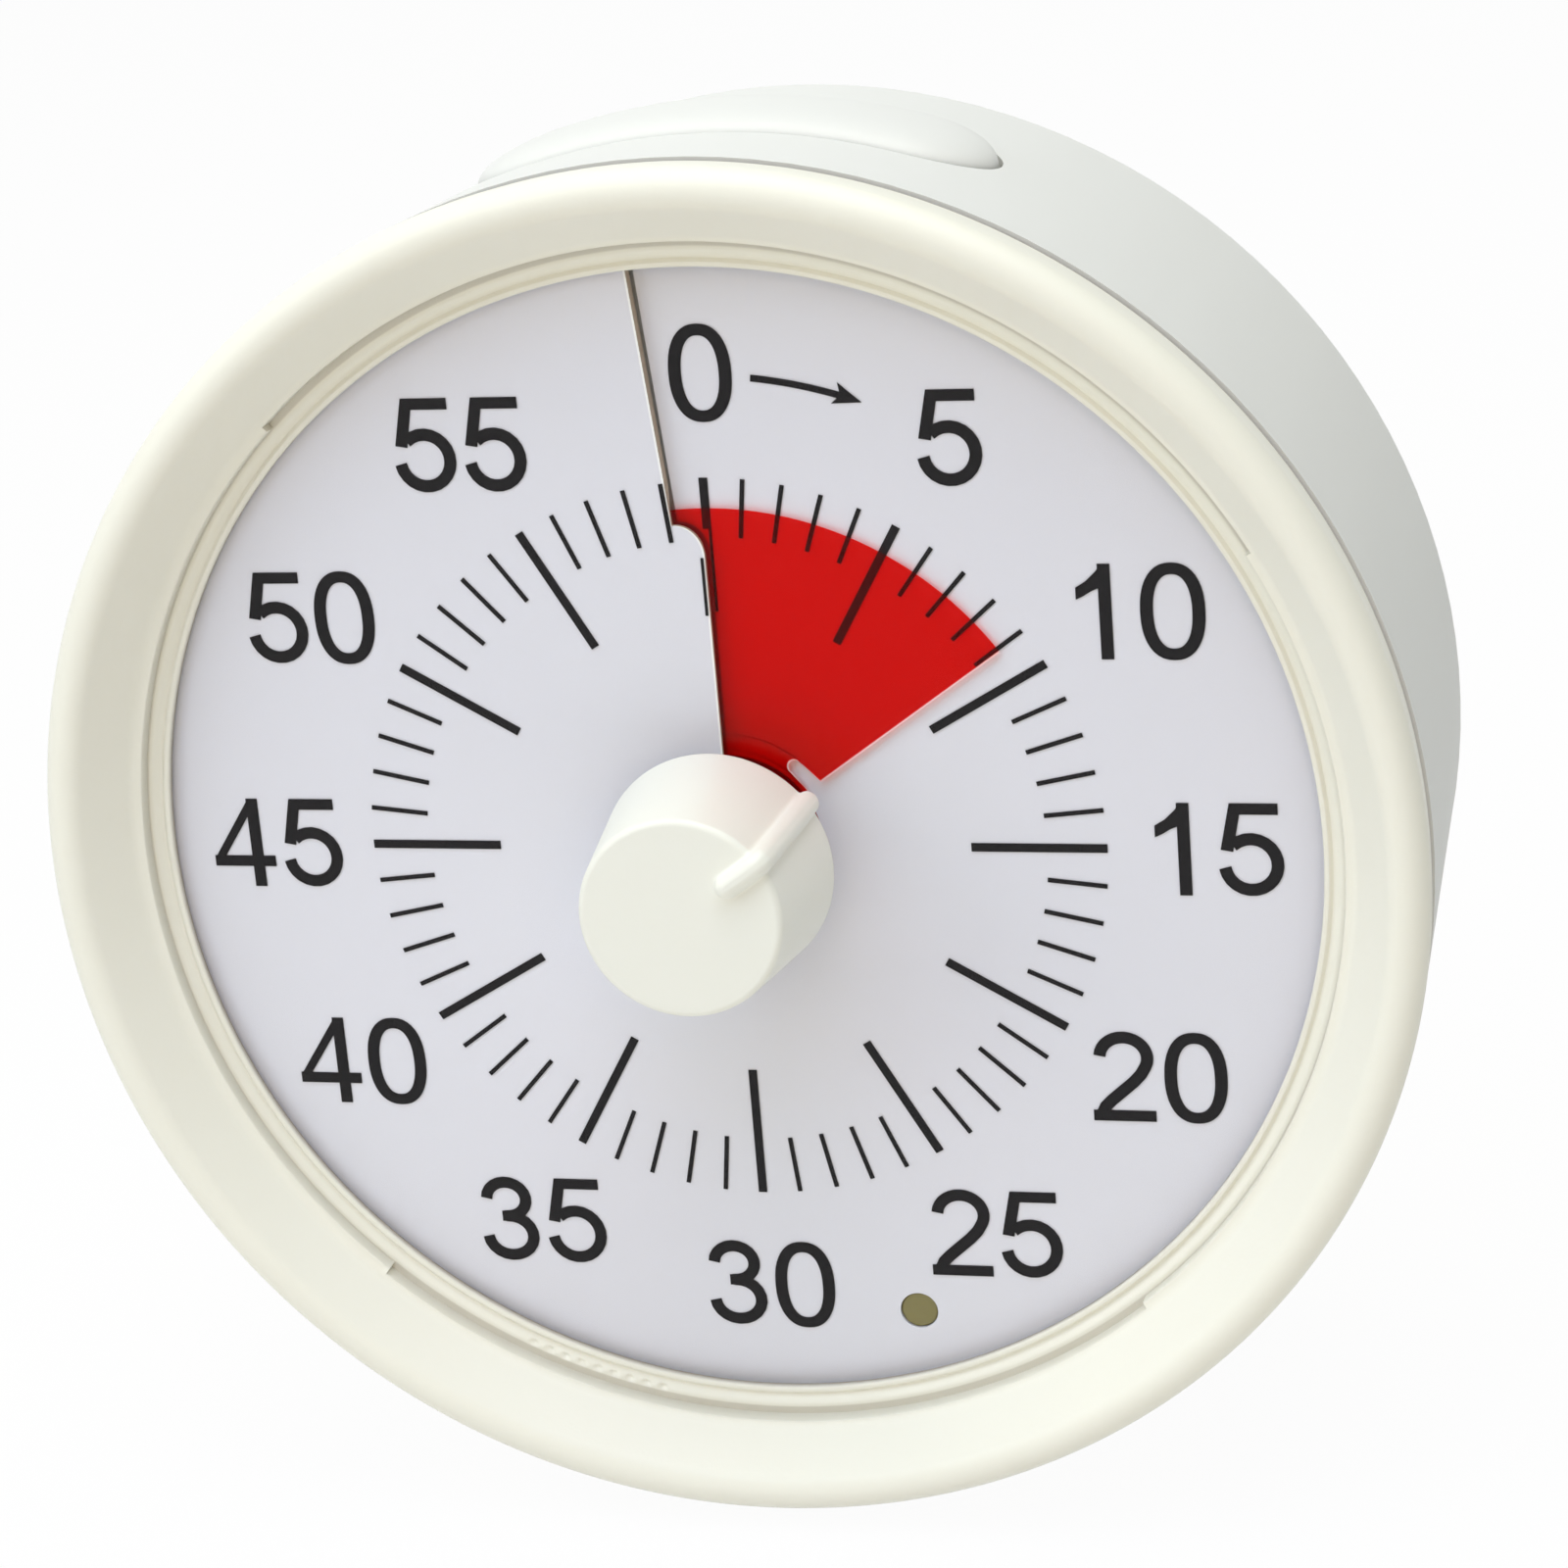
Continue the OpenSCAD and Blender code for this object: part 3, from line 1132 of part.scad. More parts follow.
front_bezel();
lens();
rear_housing();
foot_pads();
dial();
dial_marks();
dial_carrier();
signal_light();
red_film();
film_hub();
knob();
knob_shaft();
top_button();
button_springs();
switch_plunger();
touch_switch();
switch_board();
movement_plate();
movement_cover();
centre_bush();
centre_wheel();
clutch_spring();
third_wheel();
second_wheel();
rotor();
stator();
coil();
alarm_cam();
alarm_contact();
circuit_board();
board_components();
buzzer();
volume_switch();
volume_slider();
battery();
battery_spring();
battery_plate();
battery_door();
case_screws();
movement_screws();
board_screws();
light_wires();
battery_wires();
coil_wires();
switch_wires();
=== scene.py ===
"""Visual countdown timer: the looks of its case, lens, dial, film, knob and button.

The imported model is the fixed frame. Shapes are worked out in the dial's own frame: radius and
angle about the dial's axis, the angle clockwise from the top, and the height above the low side
of the dial's slit, towards the viewer. on_case() turns them into places in the row frame.
"""

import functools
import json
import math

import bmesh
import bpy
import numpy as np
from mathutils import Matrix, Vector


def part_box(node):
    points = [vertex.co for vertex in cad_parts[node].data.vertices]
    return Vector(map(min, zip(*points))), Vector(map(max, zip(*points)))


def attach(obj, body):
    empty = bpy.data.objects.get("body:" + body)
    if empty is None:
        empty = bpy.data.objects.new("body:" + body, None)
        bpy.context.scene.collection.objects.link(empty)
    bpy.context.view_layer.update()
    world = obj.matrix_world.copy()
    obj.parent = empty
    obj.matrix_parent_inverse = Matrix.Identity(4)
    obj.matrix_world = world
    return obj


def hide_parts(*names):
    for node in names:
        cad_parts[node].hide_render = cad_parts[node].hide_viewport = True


bl_info = {
    "name": "Visual countdown timer",
    "version": (1, 0, 0),
    "blender": (4, 5, 0),
    "location": "3D View > Sidebar > Timer",
    "description": "Dresses the packed timer in smooth shells, clear lens, printed dial and film",
    "category": "Add Mesh",
}

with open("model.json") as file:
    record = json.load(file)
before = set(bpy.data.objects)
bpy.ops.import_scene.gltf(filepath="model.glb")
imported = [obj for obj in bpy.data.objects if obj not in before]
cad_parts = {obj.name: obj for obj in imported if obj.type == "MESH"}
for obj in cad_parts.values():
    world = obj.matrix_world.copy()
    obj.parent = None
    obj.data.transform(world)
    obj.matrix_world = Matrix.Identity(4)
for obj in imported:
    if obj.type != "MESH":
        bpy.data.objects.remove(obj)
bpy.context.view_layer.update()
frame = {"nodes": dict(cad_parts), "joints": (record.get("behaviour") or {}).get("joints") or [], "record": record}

MM = 0.001
JOINTS = {joint["name"]: joint for joint in frame["joints"]}
COUPLINGS = {row["joint"]: row for row in frame["record"]["behaviour"]["couplings"]}
AXIS = np.array(JOINTS["knob_turn"]["pos_m"])
SET_ANGLE = -math.radians(JOINTS["knob_turn"]["range_deg"][0])
DIAL_STEP = COUPLINGS["film_climb"]["ratio"] * 2 * math.pi
# First and last angle of the two tab pockets, and the tabs' clearance at each end, in degrees
TAB_POCKETS = ((-44, 60), (140, 221))
TAB_CLEARANCE = 0.5
TAB_STEP = math.radians(0.06)
PILLOW = 3.0
DIMPLES = np.radians(191.5 + 1.7 * np.arange(9))
DIMPLE_HALF = math.radians(0.7)
EDGE_BAND = 0.06 * MM
SHARP = math.radians(30)
FLAT = math.radians(0.5)
WIRE_PITCH = 0.12 * MM
FLOOR_GLOW = 0.96
AIR_LIGHT = 0.196
CLEAR = (1.0, 1.0, 1.0, 1.0)
# Painted highlight: a near white for the band along the dial slit's high edge.
PAINTED_HIGHLIGHT_TINT = (0.93, 0.93, 0.92, 1.0)
# Painted highlight: a pale pink for the band along the film's leading edge.
PAINTED_RIM_HIGHLIGHT = (0.95, 0.72, 0.7, 1.0)
GEL_STAIN = (1.0, 0.1, 0.07, 1.0)


def radius_of(node):
    """Half the width of a round CAD node, in metres."""
    low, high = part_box(node)
    return (high.x - low.x) / 2


def front_of(node):
    """Height of a CAD node's front above the zero of the dial, in metres."""
    return AXIS[1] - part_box(node)[0].y


def back_of(node):
    """Height of a CAD node's back above the zero of the dial, in metres."""
    return AXIS[1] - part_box(node)[1].y


def size(name, millimetres, description):
    """A length that a user may change, given in millimetres and kept in metres."""
    return bpy.props.FloatProperty(
        name=name, description=description, default=millimetres * MM, unit="LENGTH", precision=5)


def turn(name, degrees, description):
    """An angle that a user may change, given in degrees."""
    return bpy.props.FloatProperty(
        name=name, description=description, default=math.radians(degrees), subtype="ANGLE")


def linear(red, green, blue):
    """A colour of 0 to 255 for each channel, as the linear values that a shader takes."""
    share = np.array([red, green, blue]) / 255
    curved = np.where(share <= 0.04045, share / 12.92, ((share + 0.055) / 1.055) ** 2.4)
    return tuple(float(x) for x in curved)


def colour(name, red, green, blue, description):
    """A colour that a user may change."""
    return bpy.props.FloatVectorProperty(
        name=name, description=description, default=linear(red, green, blue),
        subtype="COLOR", size=3, min=0, max=1)


class CaseSizes(bpy.types.PropertyGroup):
    """Sizes of the bezel, the lens and the moulded parts' roundings."""

    nose_round: size("Nose rounding", 1.3, "Rounding of the bezel's outer front edge")
    face_width: size("Face width", 4.9, "Width of the bezel from its outside to the lens")
    face_slope: turn("Face slope", 53, "Slope of the bezel's face towards the lens")
    face_hollow: size("Face hollow", 0.75, "Width of the hollow at the foot of the bezel's face")
    ledge_width: size("Ledge width", 0.9, "Width of the ledge that carries the lens")
    lip_width: size("Lip width", 0.4, "Width of the chamfered lip inside the ledge")
    seat_width: size("Seat width", 0.2, "Width of the lens's seat at the ledge's outside")
    cove_depth: size("Cove depth", 0.3, "Depth of the cove between the seat and the lip's bead")
    side_draft: size("Side draft", 0.3, "How far the bezel's side draws in towards the seam")
    tab_reach: size("Tab reach", 0.35, "How far the lens's two locking tabs reach out")
    lens_hole: size("Lens hole", 4.9, "Radius of the lens's hole for the knob")
    dimple_depth: size("Dimple depth", 0.2, "Depth of the small dimples in the lens's ledge")
    edge_round: size("Edge rounding", 0.1, "Rounding of the bezel's and the lens's small edges")
    mould_round: size("Moulding rounding", 0.18, "Rounding of the housing's and the door's edges")


class DialSizes(bpy.types.PropertyGroup):
    """Sizes of the dial sheet and the film."""

    dial_thickness: size("Dial thickness", 0.25, "Thickness of the printed dial sheet")
    dial_hole: size("Dial hole", 5.35, "Radius of the hole around the hub")
    slit_width: size("Slit width", 0.12, "Width of the slit")
    slit_shift: turn("Slit shift", 5.25, "Angle by which the outer part of the slit is set back")
    slit_corner: size("Slit corner", 1.95, "Size of the slit's rounded corner")
    corner_inset: size("Corner inset", 2.7, "Distance from the film's edge in to that corner")
    flap_turn_down: size("Flap turn-down", 0.48, "Depth of the stiff edge under the high side")
    # The band of painted highlight along the slit's high side; the sheet's edge rows follow it.
    core_width: size("Core width", 0.1, "Width of the bare white core along the slit's high side")
    window_radius: size("Window radius", 1.125, "Radius of the signal light's window")
    film_thickness: size("Film thickness", 0.15, "Thickness of the film")
    # The band of painted highlight along the film's leading edge; the film's edge rows follow it.
    film_rim: size("Film rim", 0.09, "Width of the pale rim along the film's leading edge")
    notch_start: size("Notch start", 5.83, "Radius at which the notch starts")
    notch_width: size("Notch width", 0.87, "Width of the notch behind the film's leading edge")
    notch_turn: turn("Notch length", 14, "Angle over which the notch runs back")


class KnobSizes(bpy.types.PropertyGroup):
    """Sizes of the knob and the top button."""

    knob_face: size("Knob face", 5.8, "Radius of the knob at its face")
    knob_round: size("Knob rounding", 0.4, "Rounding of the knob's front edge")
    knob_neck: size("Knob neck", 4.2, "Radius of the knob's neck inside the lens's hole")
    foot_round: size("Foot rounding", 0.22, "Rounding of the knob's foot")
    pointer_width: size("Pointer width", 1.3, "Width of the raised pointer")
    pointer_height: size("Pointer height", 0.8, "How far the pointer stands proud")
    pointer_start: size("Pointer start", 2.9, "Distance from the axis to the pointer's inner end")
    pointer_fillet: size("Pointer fillet", 0.22, "Softness of the pointer's foot on the knob")
    button_length: size("Button length", 30.4, "Length of the button across the case")
    button_width: size("Button width", 9.0, "Width of the button from front to back")
    button_drop: size("Button drop", 1.4, "Height over which the button's pillow rounds down")
    button_flare: size("Button flare", 0.12, "How far the button's foot widens inside its opening")


class FinishColours(bpy.types.PropertyGroup):
    """Colours of the timer's finishes."""

    bezel: colour("Bezel", 239, 237, 224, "Cream plastic of the bezel")
    housing: colour("Housing", 229, 229, 225, "Off-white plastic of the housing")
    knob: colour("Knob", 238, 238, 228, "Ivory plastic of the knob")
    dial: colour("Dial", 223, 223, 231, "Printed dial sheet")
    ink: colour("Ink", 22, 20, 22, "Ink of the numerals and lines")
    film: colour("Film", 240, 26, 18, "Red film")
    # Painted shade: a beige-brown for the dial's cut face, the colour it shows in shade.
    cut: colour("Cut edge", 182, 164, 144, "Cut face of the dial along the slit's high side")
    light: colour("Signal light", 122, 113, 54, "Unlit signal light behind its window")
    rubber: colour("Rubber", 58, 60, 62, "Rubber pads under the feet")


def in_scene(name, data):
    """A new object in the scene."""
    item = bpy.data.objects.new(name, data)
    bpy.context.scene.collection.objects.link(item)
    return item


def direction(azimuth, elevation):
    """The way from the dial to an azimuth, to the right of its front, and an elevation."""
    a = math.radians(azimuth)
    e = math.radians(elevation)
    return Vector((math.sin(a) * math.cos(e), -math.cos(a) * math.cos(e), math.sin(e)))


def on_case(radius, angle, height):
    """Points at a radius, a clockwise angle from the top and a height above the dial's zero,
    as x = radius sin(angle), y = -height and z = radius cos(angle) from the axis point."""
    radius, angle, height = np.broadcast_arrays(radius, angle, height)
    return AXIS + np.stack([radius * np.sin(angle), -height, radius * np.cos(angle)], -1)


def arc(centre, radius, start, end, steps):
    """Points on a round corner: centre plus radius times the cosine and sine of each angle
    from start to end, in degrees."""
    angles = np.radians(np.linspace(start, end, steps + 1))
    return np.array(centre) + radius * np.stack([np.cos(angles), np.sin(angles)], -1)


def rounded(corners, steps=4):
    """A closed profile whose corners, each (x, y, rounding), become arcs: every arc touches
    both sides at the distance rounding / tan(half the angle between them)."""
    corners = [np.array(c, float) for c in corners]
    points = []
    for i, c in enumerate(corners):
        before = corners[i - 1][:2] - c[:2]
        after = corners[(i + 1) % len(corners)][:2] - c[:2]
        before = before / np.linalg.norm(before)
        after = after / np.linalg.norm(after)
        if c[2] <= 0:
            points.append(c[:2][None])
            continue
        half = math.acos(float(np.clip(before @ after, -1, 1))) / 2
        back = c[2] / math.tan(half)
        middle = (before + after) / np.linalg.norm(before + after)
        centre = c[:2] + middle * c[2] / math.sin(half)
        first = math.atan2(*(c[:2] + before * back - centre)[::-1])
        last = math.atan2(*(c[:2] + after * back - centre)[::-1])
        swing = (last - first + math.pi) % (2 * math.pi) - math.pi
        points.append(arc(centre, c[2], math.degrees(first), math.degrees(first + swing), steps))
    return np.concatenate(points)


def grid_faces(rows, columns, wrap_rows=False, wrap_columns=False):
    """Quads between neighbouring rows and columns of a grid, which may close on itself."""
    i = np.arange(rows if wrap_rows else rows - 1)[:, None]
    j = np.arange(columns if wrap_columns else columns - 1)[None]
    below = (i + 1) % rows
    beside = (j + 1) % columns
    quads = np.broadcast_arrays(
        i * columns + j, i * columns + beside, below * columns + beside, below * columns + j)
    return np.stack(quads, -1).reshape(-1, 4).tolist()


def shade_mesh(shape, mesh, sharp):
    """Puts a worked shape into its mesh, shaded smooth apart from edges sharper than an angle."""
    shape.to_mesh(mesh)
    shape.free()
    mesh.shade_smooth()
    mesh.set_sharp_from_angle(angle=sharp)


def new_piece(name, points, faces, body, node, slot, sharp=34):
    """A mesh piece that rides on a body and stands for a CAD node. Doubled points at seams and
    poles are joined, and the faces are turned outwards."""
    mesh = bpy.data.meshes.new(name)
    mesh.from_pydata(points.reshape(-1, 3).tolist(), [], faces)
    shape = bmesh.new()
    shape.from_mesh(mesh)
    bmesh.ops.remove_doubles(shape, verts=shape.verts, dist=2e-7)
    bmesh.ops.dissolve_degenerate(shape, edges=shape.edges, dist=1e-8)
    bmesh.ops.recalc_face_normals(shape, faces=shape.faces)
    if shape.calc_volume(signed=True) < 0:
        bmesh.ops.reverse_faces(shape, faces=shape.faces)
    shade_mesh(shape, mesh, math.radians(sharp))
    return dress(name, mesh, body, node, slot)


def dress(name, mesh, body, node, slot, rounding=0):
    """Makes a finished mesh a piece with its body, replaced node, slot and finish, and rounds
    its sharp edges where it has a rounding."""
    piece = in_scene(name, mesh)
    mesh.materials.clear()
    mesh.materials.append(finish_of(slot))
    if rounding > 0:
        bevel = piece.modifiers.new("Rounded edges", "BEVEL")
        bevel.width = rounding
        bevel.segments = 3
        bevel.limit_method = "ANGLE"
        bevel.angle_limit = SHARP
        bevel.harden_normals = False
        bevel.miter_outer = "MITER_ARC"
        bevel.use_clamp_overlap = True
    flatten = piece.modifiers.new("Even shading", "WEIGHTED_NORMAL")
    flatten.keep_sharp = True
    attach(piece, body)
    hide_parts(node)
    return piece


def mark(piece, name, values):
    """Stores a value of 0 to 1 at each point of a piece, for its material to read."""
    layer = piece.data.attributes.new(name, "FLOAT", "POINT")
    layer.data.foreach_set("value", np.asarray(values, float).ravel())


def revolve(profile, angles, change):
    """A closed profile of (radius, height) carried round the axis through the given angles,
    as a grid of rows by angle. change(radius, height, angle) gives the radii and heights there."""
    turned = angles[:, None]
    radius, height = change(profile[None, :, 0], profile[None, :, 1], turned)
    return on_case(radius, turned, height)


def within(angle, first, last):
    """Whether an angle from 0 to 360 degrees lies between two others, going clockwise."""
    degrees = np.degrees(angle)
    return np.mod(degrees - first, 360) < (last - first)


def in_tabs(angle, inset=0):
    """One inside the two tab pockets, drawn in at both ends by an inset in degrees."""
    return sum(within(angle, first + inset, last - inset) for first, last in TAB_POCKETS)


def tab_ends(inset=0):
    """Angles just before, at and just after the ends of the drawn-in pockets."""
    ends = np.radians([[first + inset, last - inset] for first, last in TAB_POCKETS]).ravel()
    return (ends[:, None] + TAB_STEP * np.array([-1, 0, 1])).ravel()


def soft_bump(distance, half):
    """One at the middle, falling along a cosine to zero at a distance of half."""
    return np.where(np.abs(distance) < half, 0.5 + 0.5 * np.cos(math.pi * distance / half), 0)


def full_turn(steps, extra):
    """Evenly spaced angles of one turn, with extra ones where a shape changes quickly."""
    angles = np.linspace(0, 2 * math.pi, steps, endpoint=False)
    return np.unique(np.round(np.concatenate([angles, np.mod(extra, 2 * math.pi)]), 7))


def copy_of(node, name, body, slot, rounding):
    """A CAD node's own shape with its edges rounded: a copy is merged, its flat faces are joined,
    and a Bevel modifier rounds every sharp edge."""
    mesh = frame["nodes"][node].data.copy()
    mesh.name = name
    shape = bmesh.new()
    shape.from_mesh(mesh)
    bmesh.ops.remove_doubles(shape, verts=shape.verts, dist=1e-6)
    bmesh.ops.dissolve_limit(shape, angle_limit=FLAT, verts=shape.verts, edges=shape.edges)
    shade_mesh(shape, mesh, SHARP)
    dress(name, mesh, body, node, slot, rounding)


class Wire:
    """A node's output. Arithmetic on it adds Math nodes to its material."""

    def __init__(self, finish, socket):
        self.finish = finish
        self.socket = socket

    def maths(self, operation, first, second):
        return self.finish.add("ShaderNodeMath", {"operation": operation}, {0: first, 1: second})

    def __add__(self, other):
        return self.maths("ADD", self, other)

    def __sub__(self, other):
        return self.maths("SUBTRACT", self, other)

    def __rsub__(self, other):
        return self.maths("SUBTRACT", other, self)

    def __mul__(self, other):
        return self.maths("MULTIPLY", self, other)

    __radd__ = __add__
    __rmul__ = __mul__

    def output(self, name):
        """Another output of the same node."""
        return Wire(self.finish, self.socket.node.outputs[name])


class Finish:
    """A material, or the world, under construction."""

    def __init__(self, name, kind="materials"):
        self.owner = getattr(bpy.data, kind).new(name)
        self.owner.use_nodes = True
        self.tree = self.owner.node_tree
        self.tree.nodes.clear()

    def add(self, kind, settings=None, sockets=None):
        """A node of a kind. Its settings are set first, then its sockets' values or links."""
        node = self.tree.nodes.new(kind)
        for name, value in (settings or {}).items():
            setattr(node, name, value)
        for name, value in (sockets or {}).items():
            if isinstance(value, Wire):
                self.tree.links.new(value.socket, node.inputs[name])
            else:
                node.inputs[name].default_value = value
        return Wire(self, node.outputs[0]) if node.outputs else None

    def place(self):
        """The Object coordinates of the surface, in metres."""
        return self.add("ShaderNodeTexCoord").output("Object")

    def attribute(self, name):
        """A value that the mesh carries at its points."""
        return self.add("ShaderNodeAttribute", {"attribute_name": name}).output("Fac")

    def noise(self, scale, detail):
        """Smooth noise from 0 to 1 with the given number of features a metre."""
        return self.add("ShaderNodeTexNoise", {}, {
            "Vector": self.place(), "Scale": scale, "Detail": detail})

    def between(self, first, second, share):
        """A colour between two others."""
        return self.add("ShaderNodeMix", {"data_type": "RGBA"}, {
            "Factor": share, 6: first, 7: second}).output(2)

    def bump(self, height, distance):
        """A surface normal that follows a height from 0 to 1, this many metres high."""
        return self.add("ShaderNodeBump", {}, {
            "Height": height, "Distance": distance, "Strength": 1.0})

    def surface(self, sockets):
        """A Principled shader with these values or links."""
        return self.add("ShaderNodeBsdfPrincipled", {}, sockets)

    def mix(self, share, first, second):
        """A Mix Shader between two shaders."""
        return self.add("ShaderNodeMixShader", {}, {0: share, 1: first, 2: second})

    def seen(self):
        """One where a backdrop shows: to the camera, in a gloss and through glass."""
        path = self.add("ShaderNodeLightPath")
        shown = path.output("Is Camera Ray")
        for ray in ("Is Glossy Ray", "Is Transmission Ray"):
            shown = shown.maths("MAXIMUM", shown, path.output(ray))
        return shown

    def close(self, shader, output="ShaderNodeOutputMaterial"):
        """Joins the shader to the output and gives back the material or world."""
        self.add(output, {}, {"Surface": shader})
        return self.owner


def shade(rgb, factor):
    """A colour made lighter or darker by a factor, as four numbers."""
    return tuple(min(1.0, channel * factor) for channel in tuple(rgb)[:3]) + (1.0,)


def moulded(name, rgb, roughness, grain, mottle, coat=0.0, shine=0.5, groove=None):
    """Injection-moulded plastic: faint clouds in its colour and gloss, and a fine grain. Where a
    piece's attribute of painted shade is 1, its colour is a brown that paints the shade in a
    narrow groove."""
    finish = Finish(name)
    clouds = finish.noise(70, 3)
    fine = finish.noise(5200, 2)
    tint = finish.between(shade(rgb, 1 - mottle), shade(rgb, 1 + mottle / 3), clouds)
    if groove:
        tint = finish.between(tint, shade(groove, 1), finish.attribute("groove"))
    return finish.close(finish.surface({
        "Base Color": tint,
        "Roughness": roughness - 0.06 + clouds * 0.08 + fine * 0.04,
        "Normal": finish.bump(fine, grain * MM),
        "Specular IOR Level": shine,
        "Coat Weight": coat,
    }))


def printed_sheet(name, rgb):
    """Matt printed dial sheet: a very fine tooth, slightly uneven colour and a paler band of
    painted highlight along the slit's high edge."""
    finish = Finish(name)
    tooth = finish.noise(9000, 3)
    clouds = finish.noise(45, 2)
    print_tint = finish.between(shade(rgb, 0.985), shade(rgb, 1.01), clouds)
    tint = finish.between(print_tint, PAINTED_HIGHLIGHT_TINT, finish.attribute("core"))
    return finish.close(finish.surface({
        "Base Color": tint,
        "Roughness": 0.5 + tooth * 0.12,
        "Normal": finish.bump(tooth, 0.003 * MM),
    }))


def streaked(name, rgb, scale, shades, roughness, swing, relief, sockets):
    """Printed ink or drawn metal: fine streaks in its colour, its gloss and its surface."""
    finish = Finish(name)
    streaks = finish.noise(scale, 3)
    dark, bright = (shade(rgb, factor) for factor in shades)
    return finish.close(finish.surface({
        "Base Color": finish.between(dark, bright, streaks),
        "Roughness": roughness + streaks * swing,
        "Normal": finish.bump(streaks, relief),
        **sockets,
    }))


def metal(name, rgb, roughness):
    """Plain metal with fine drawn streaks."""
    return streaked(
        name, rgb, 900, (0.85, 1.05), roughness, 0.15, 0.002 * MM, {"Metallic": 1.0})


def clear_lens(name):
    """Clear moulded plastic: nearly invisible, with the reflection of its Fresnel angle."""
    finish = Finish(name)
    ripple = finish.noise(60, 1)
    gloss = finish.surface({
        "Base Color": CLEAR,
        "Metallic": 1.0,
        "Roughness": 0.04 + ripple * 0.02,
        "Normal": finish.bump(ripple, 0.02 * MM),
    })
    front = 1 - finish.add("ShaderNodeNewGeometry").output("Backfacing")
    reflection = finish.add("ShaderNodeFresnel", {}, {"IOR": 1.45}) * front * 0.3
    return finish.close(finish.mix(
        reflection, finish.add("ShaderNodeBsdfTransparent", {}, {"Color": CLEAR}), gloss))


def red_gel(name, rgb):
    """Thin red film: light that passes each face is stained red, and a part of it is thrown
    back by the pigment, with faint stretch marks in the gloss. A pale, mostly opaque band of
    painted highlight runs along its leading edge."""
    finish = Finish(name)
    streaks = finish.noise(260, 2)
    # The rim attribute marks the band of painted highlight, pale pink and mostly opaque.
    rim = finish.attribute("rim")
    red = finish.between(shade(rgb, 0.93), shade(rgb, 1.04), streaks)
    pigment = finish.surface({
        "Base Color": finish.between(red, PAINTED_RIM_HIGHLIGHT, rim),
        "Roughness": 0.25 + streaks * 0.08,
        "Specular IOR Level": 0.25,
        "Normal": finish.bump(streaks, 0.01 * MM),
    })
    stain = finish.add("ShaderNodeBsdfTransparent", {}, {"Color": GEL_STAIN})
    return finish.close(finish.mix(rim * 0.75 + 0.03, stain, pigment))


def wound_copper(name):
    """Enamelled wire wound round the coil's length: fine ridges along X."""
    finish = Finish(name)
    x = finish.add("ShaderNodeSeparateXYZ", {}, {"Vector": finish.place()})
    ridge = finish.add(
        "ShaderNodeMath", {"operation": "SINE"}, {0: x * (2 * math.pi / WIRE_PITCH)})
    # Painted shade and highlight: the colour is darker in the grooves between turns and lighter on the crests,
    # following the same ridges as the bump.
    dark, bright = (shade(linear(*rgb), 1) for rgb in ((150, 74, 32), (200, 116, 60)))
    return finish.close(finish.surface({
        "Base Color": finish.between(dark, bright, ridge * 0.5 + 0.5),
        "Metallic": 0.9,
        "Roughness": 0.35,
        "Normal": finish.bump(ridge, 0.01 * MM),
    }))


# Moulded plastics by slot: title, colour unless a user sets it, roughness, grain, mottle, rest
MOULDED = {
    # The bezel's brown is painted shade for its seam, its grooves and the lip beside the dial.
    "bezel": ("Cream bezel plastic", None, 0.4, 0.005, 0.012,
              {"shine": 0.3, "groove": linear(122, 104, 84)}),
    "housing": ("Off-white housing plastic", None, 0.45, 0.007, 0.012, {"shine": 0.12}),
    "knob": ("Ivory knob plastic", None, 0.4, 0.004, 0.01, {}),
    # The slit's cut face takes a beige-brown of painted shade.
    "cut": ("Slit edge", None, 0.6, 0.004, 0.03, {}),
    "light": ("Signal light resin", None, 0.22, 0.002, 0.08, {"coat": 0.4}),
    "rubber": ("Foot rubber", None, 0.75, 0.02, 0.15, {}),
    "battery": ("Battery sleeve", (201, 139, 43), 0.25, 0.004, 0.06, {"coat": 0.3}),
    "carrier": ("Carrier plastic", (214, 215, 212), 0.45, 0.01, 0.03, {}),
    "red_plastic": ("Hub plastic", (181, 22, 18), 0.35, 0.005, 0.03, {}),
    "gear_plastic": ("Gear plastic", (239, 233, 216), 0.38, 0.004, 0.03, {}),
    "movement_case": ("Movement plastic", (226, 224, 216), 0.45, 0.01, 0.03, {}),
    "board": ("Board laminate", (61, 122, 76), 0.35, 0.012, 0.12, {}),
    "black_plastic": ("Black plastic", (44, 46, 49), 0.42, 0.01, 0.15, {}),
    "grey_plastic": ("Grey plastic", (109, 112, 116), 0.45, 0.01, 0.08, {}),
    "wire_red": ("Red wire sleeve", (195, 58, 47), 0.5, 0.01, 0.08, {}),
    "wire_black": ("Black wire sleeve", (47, 50, 54), 0.5, 0.01, 0.12, {}),
}


@functools.cache
def finish_of(slot):
    """The finish of a material slot, made once, when it is first asked for."""
    tints = bpy.context.scene.timer_colours
    if slot in MOULDED:
        title, rgb, *surface, rest = MOULDED[slot]
        return moulded(title, linear(*rgb) if rgb else getattr(tints, slot), *surface, **rest)
    return {
        "dial": lambda: printed_sheet("Printed dial sheet", tints.dial),
        "ink": lambda: streaked("Printed ink", tints.ink, 1500, (0.8, 1.35), 0.42, 0.12,
                                0.004 * MM, {"Specular IOR Level": 0.1}),
        "lens": lambda: clear_lens("Clear lens"),
        "film": lambda: red_gel("Red film", tints.film),
        "steel": lambda: metal("Plated steel", linear(190, 193, 197), 0.3),
        "brass": lambda: metal("Brass", linear(205, 172, 92), 0.28),
        "copper": lambda: wound_copper("Coil wire"),
    }[slot]()


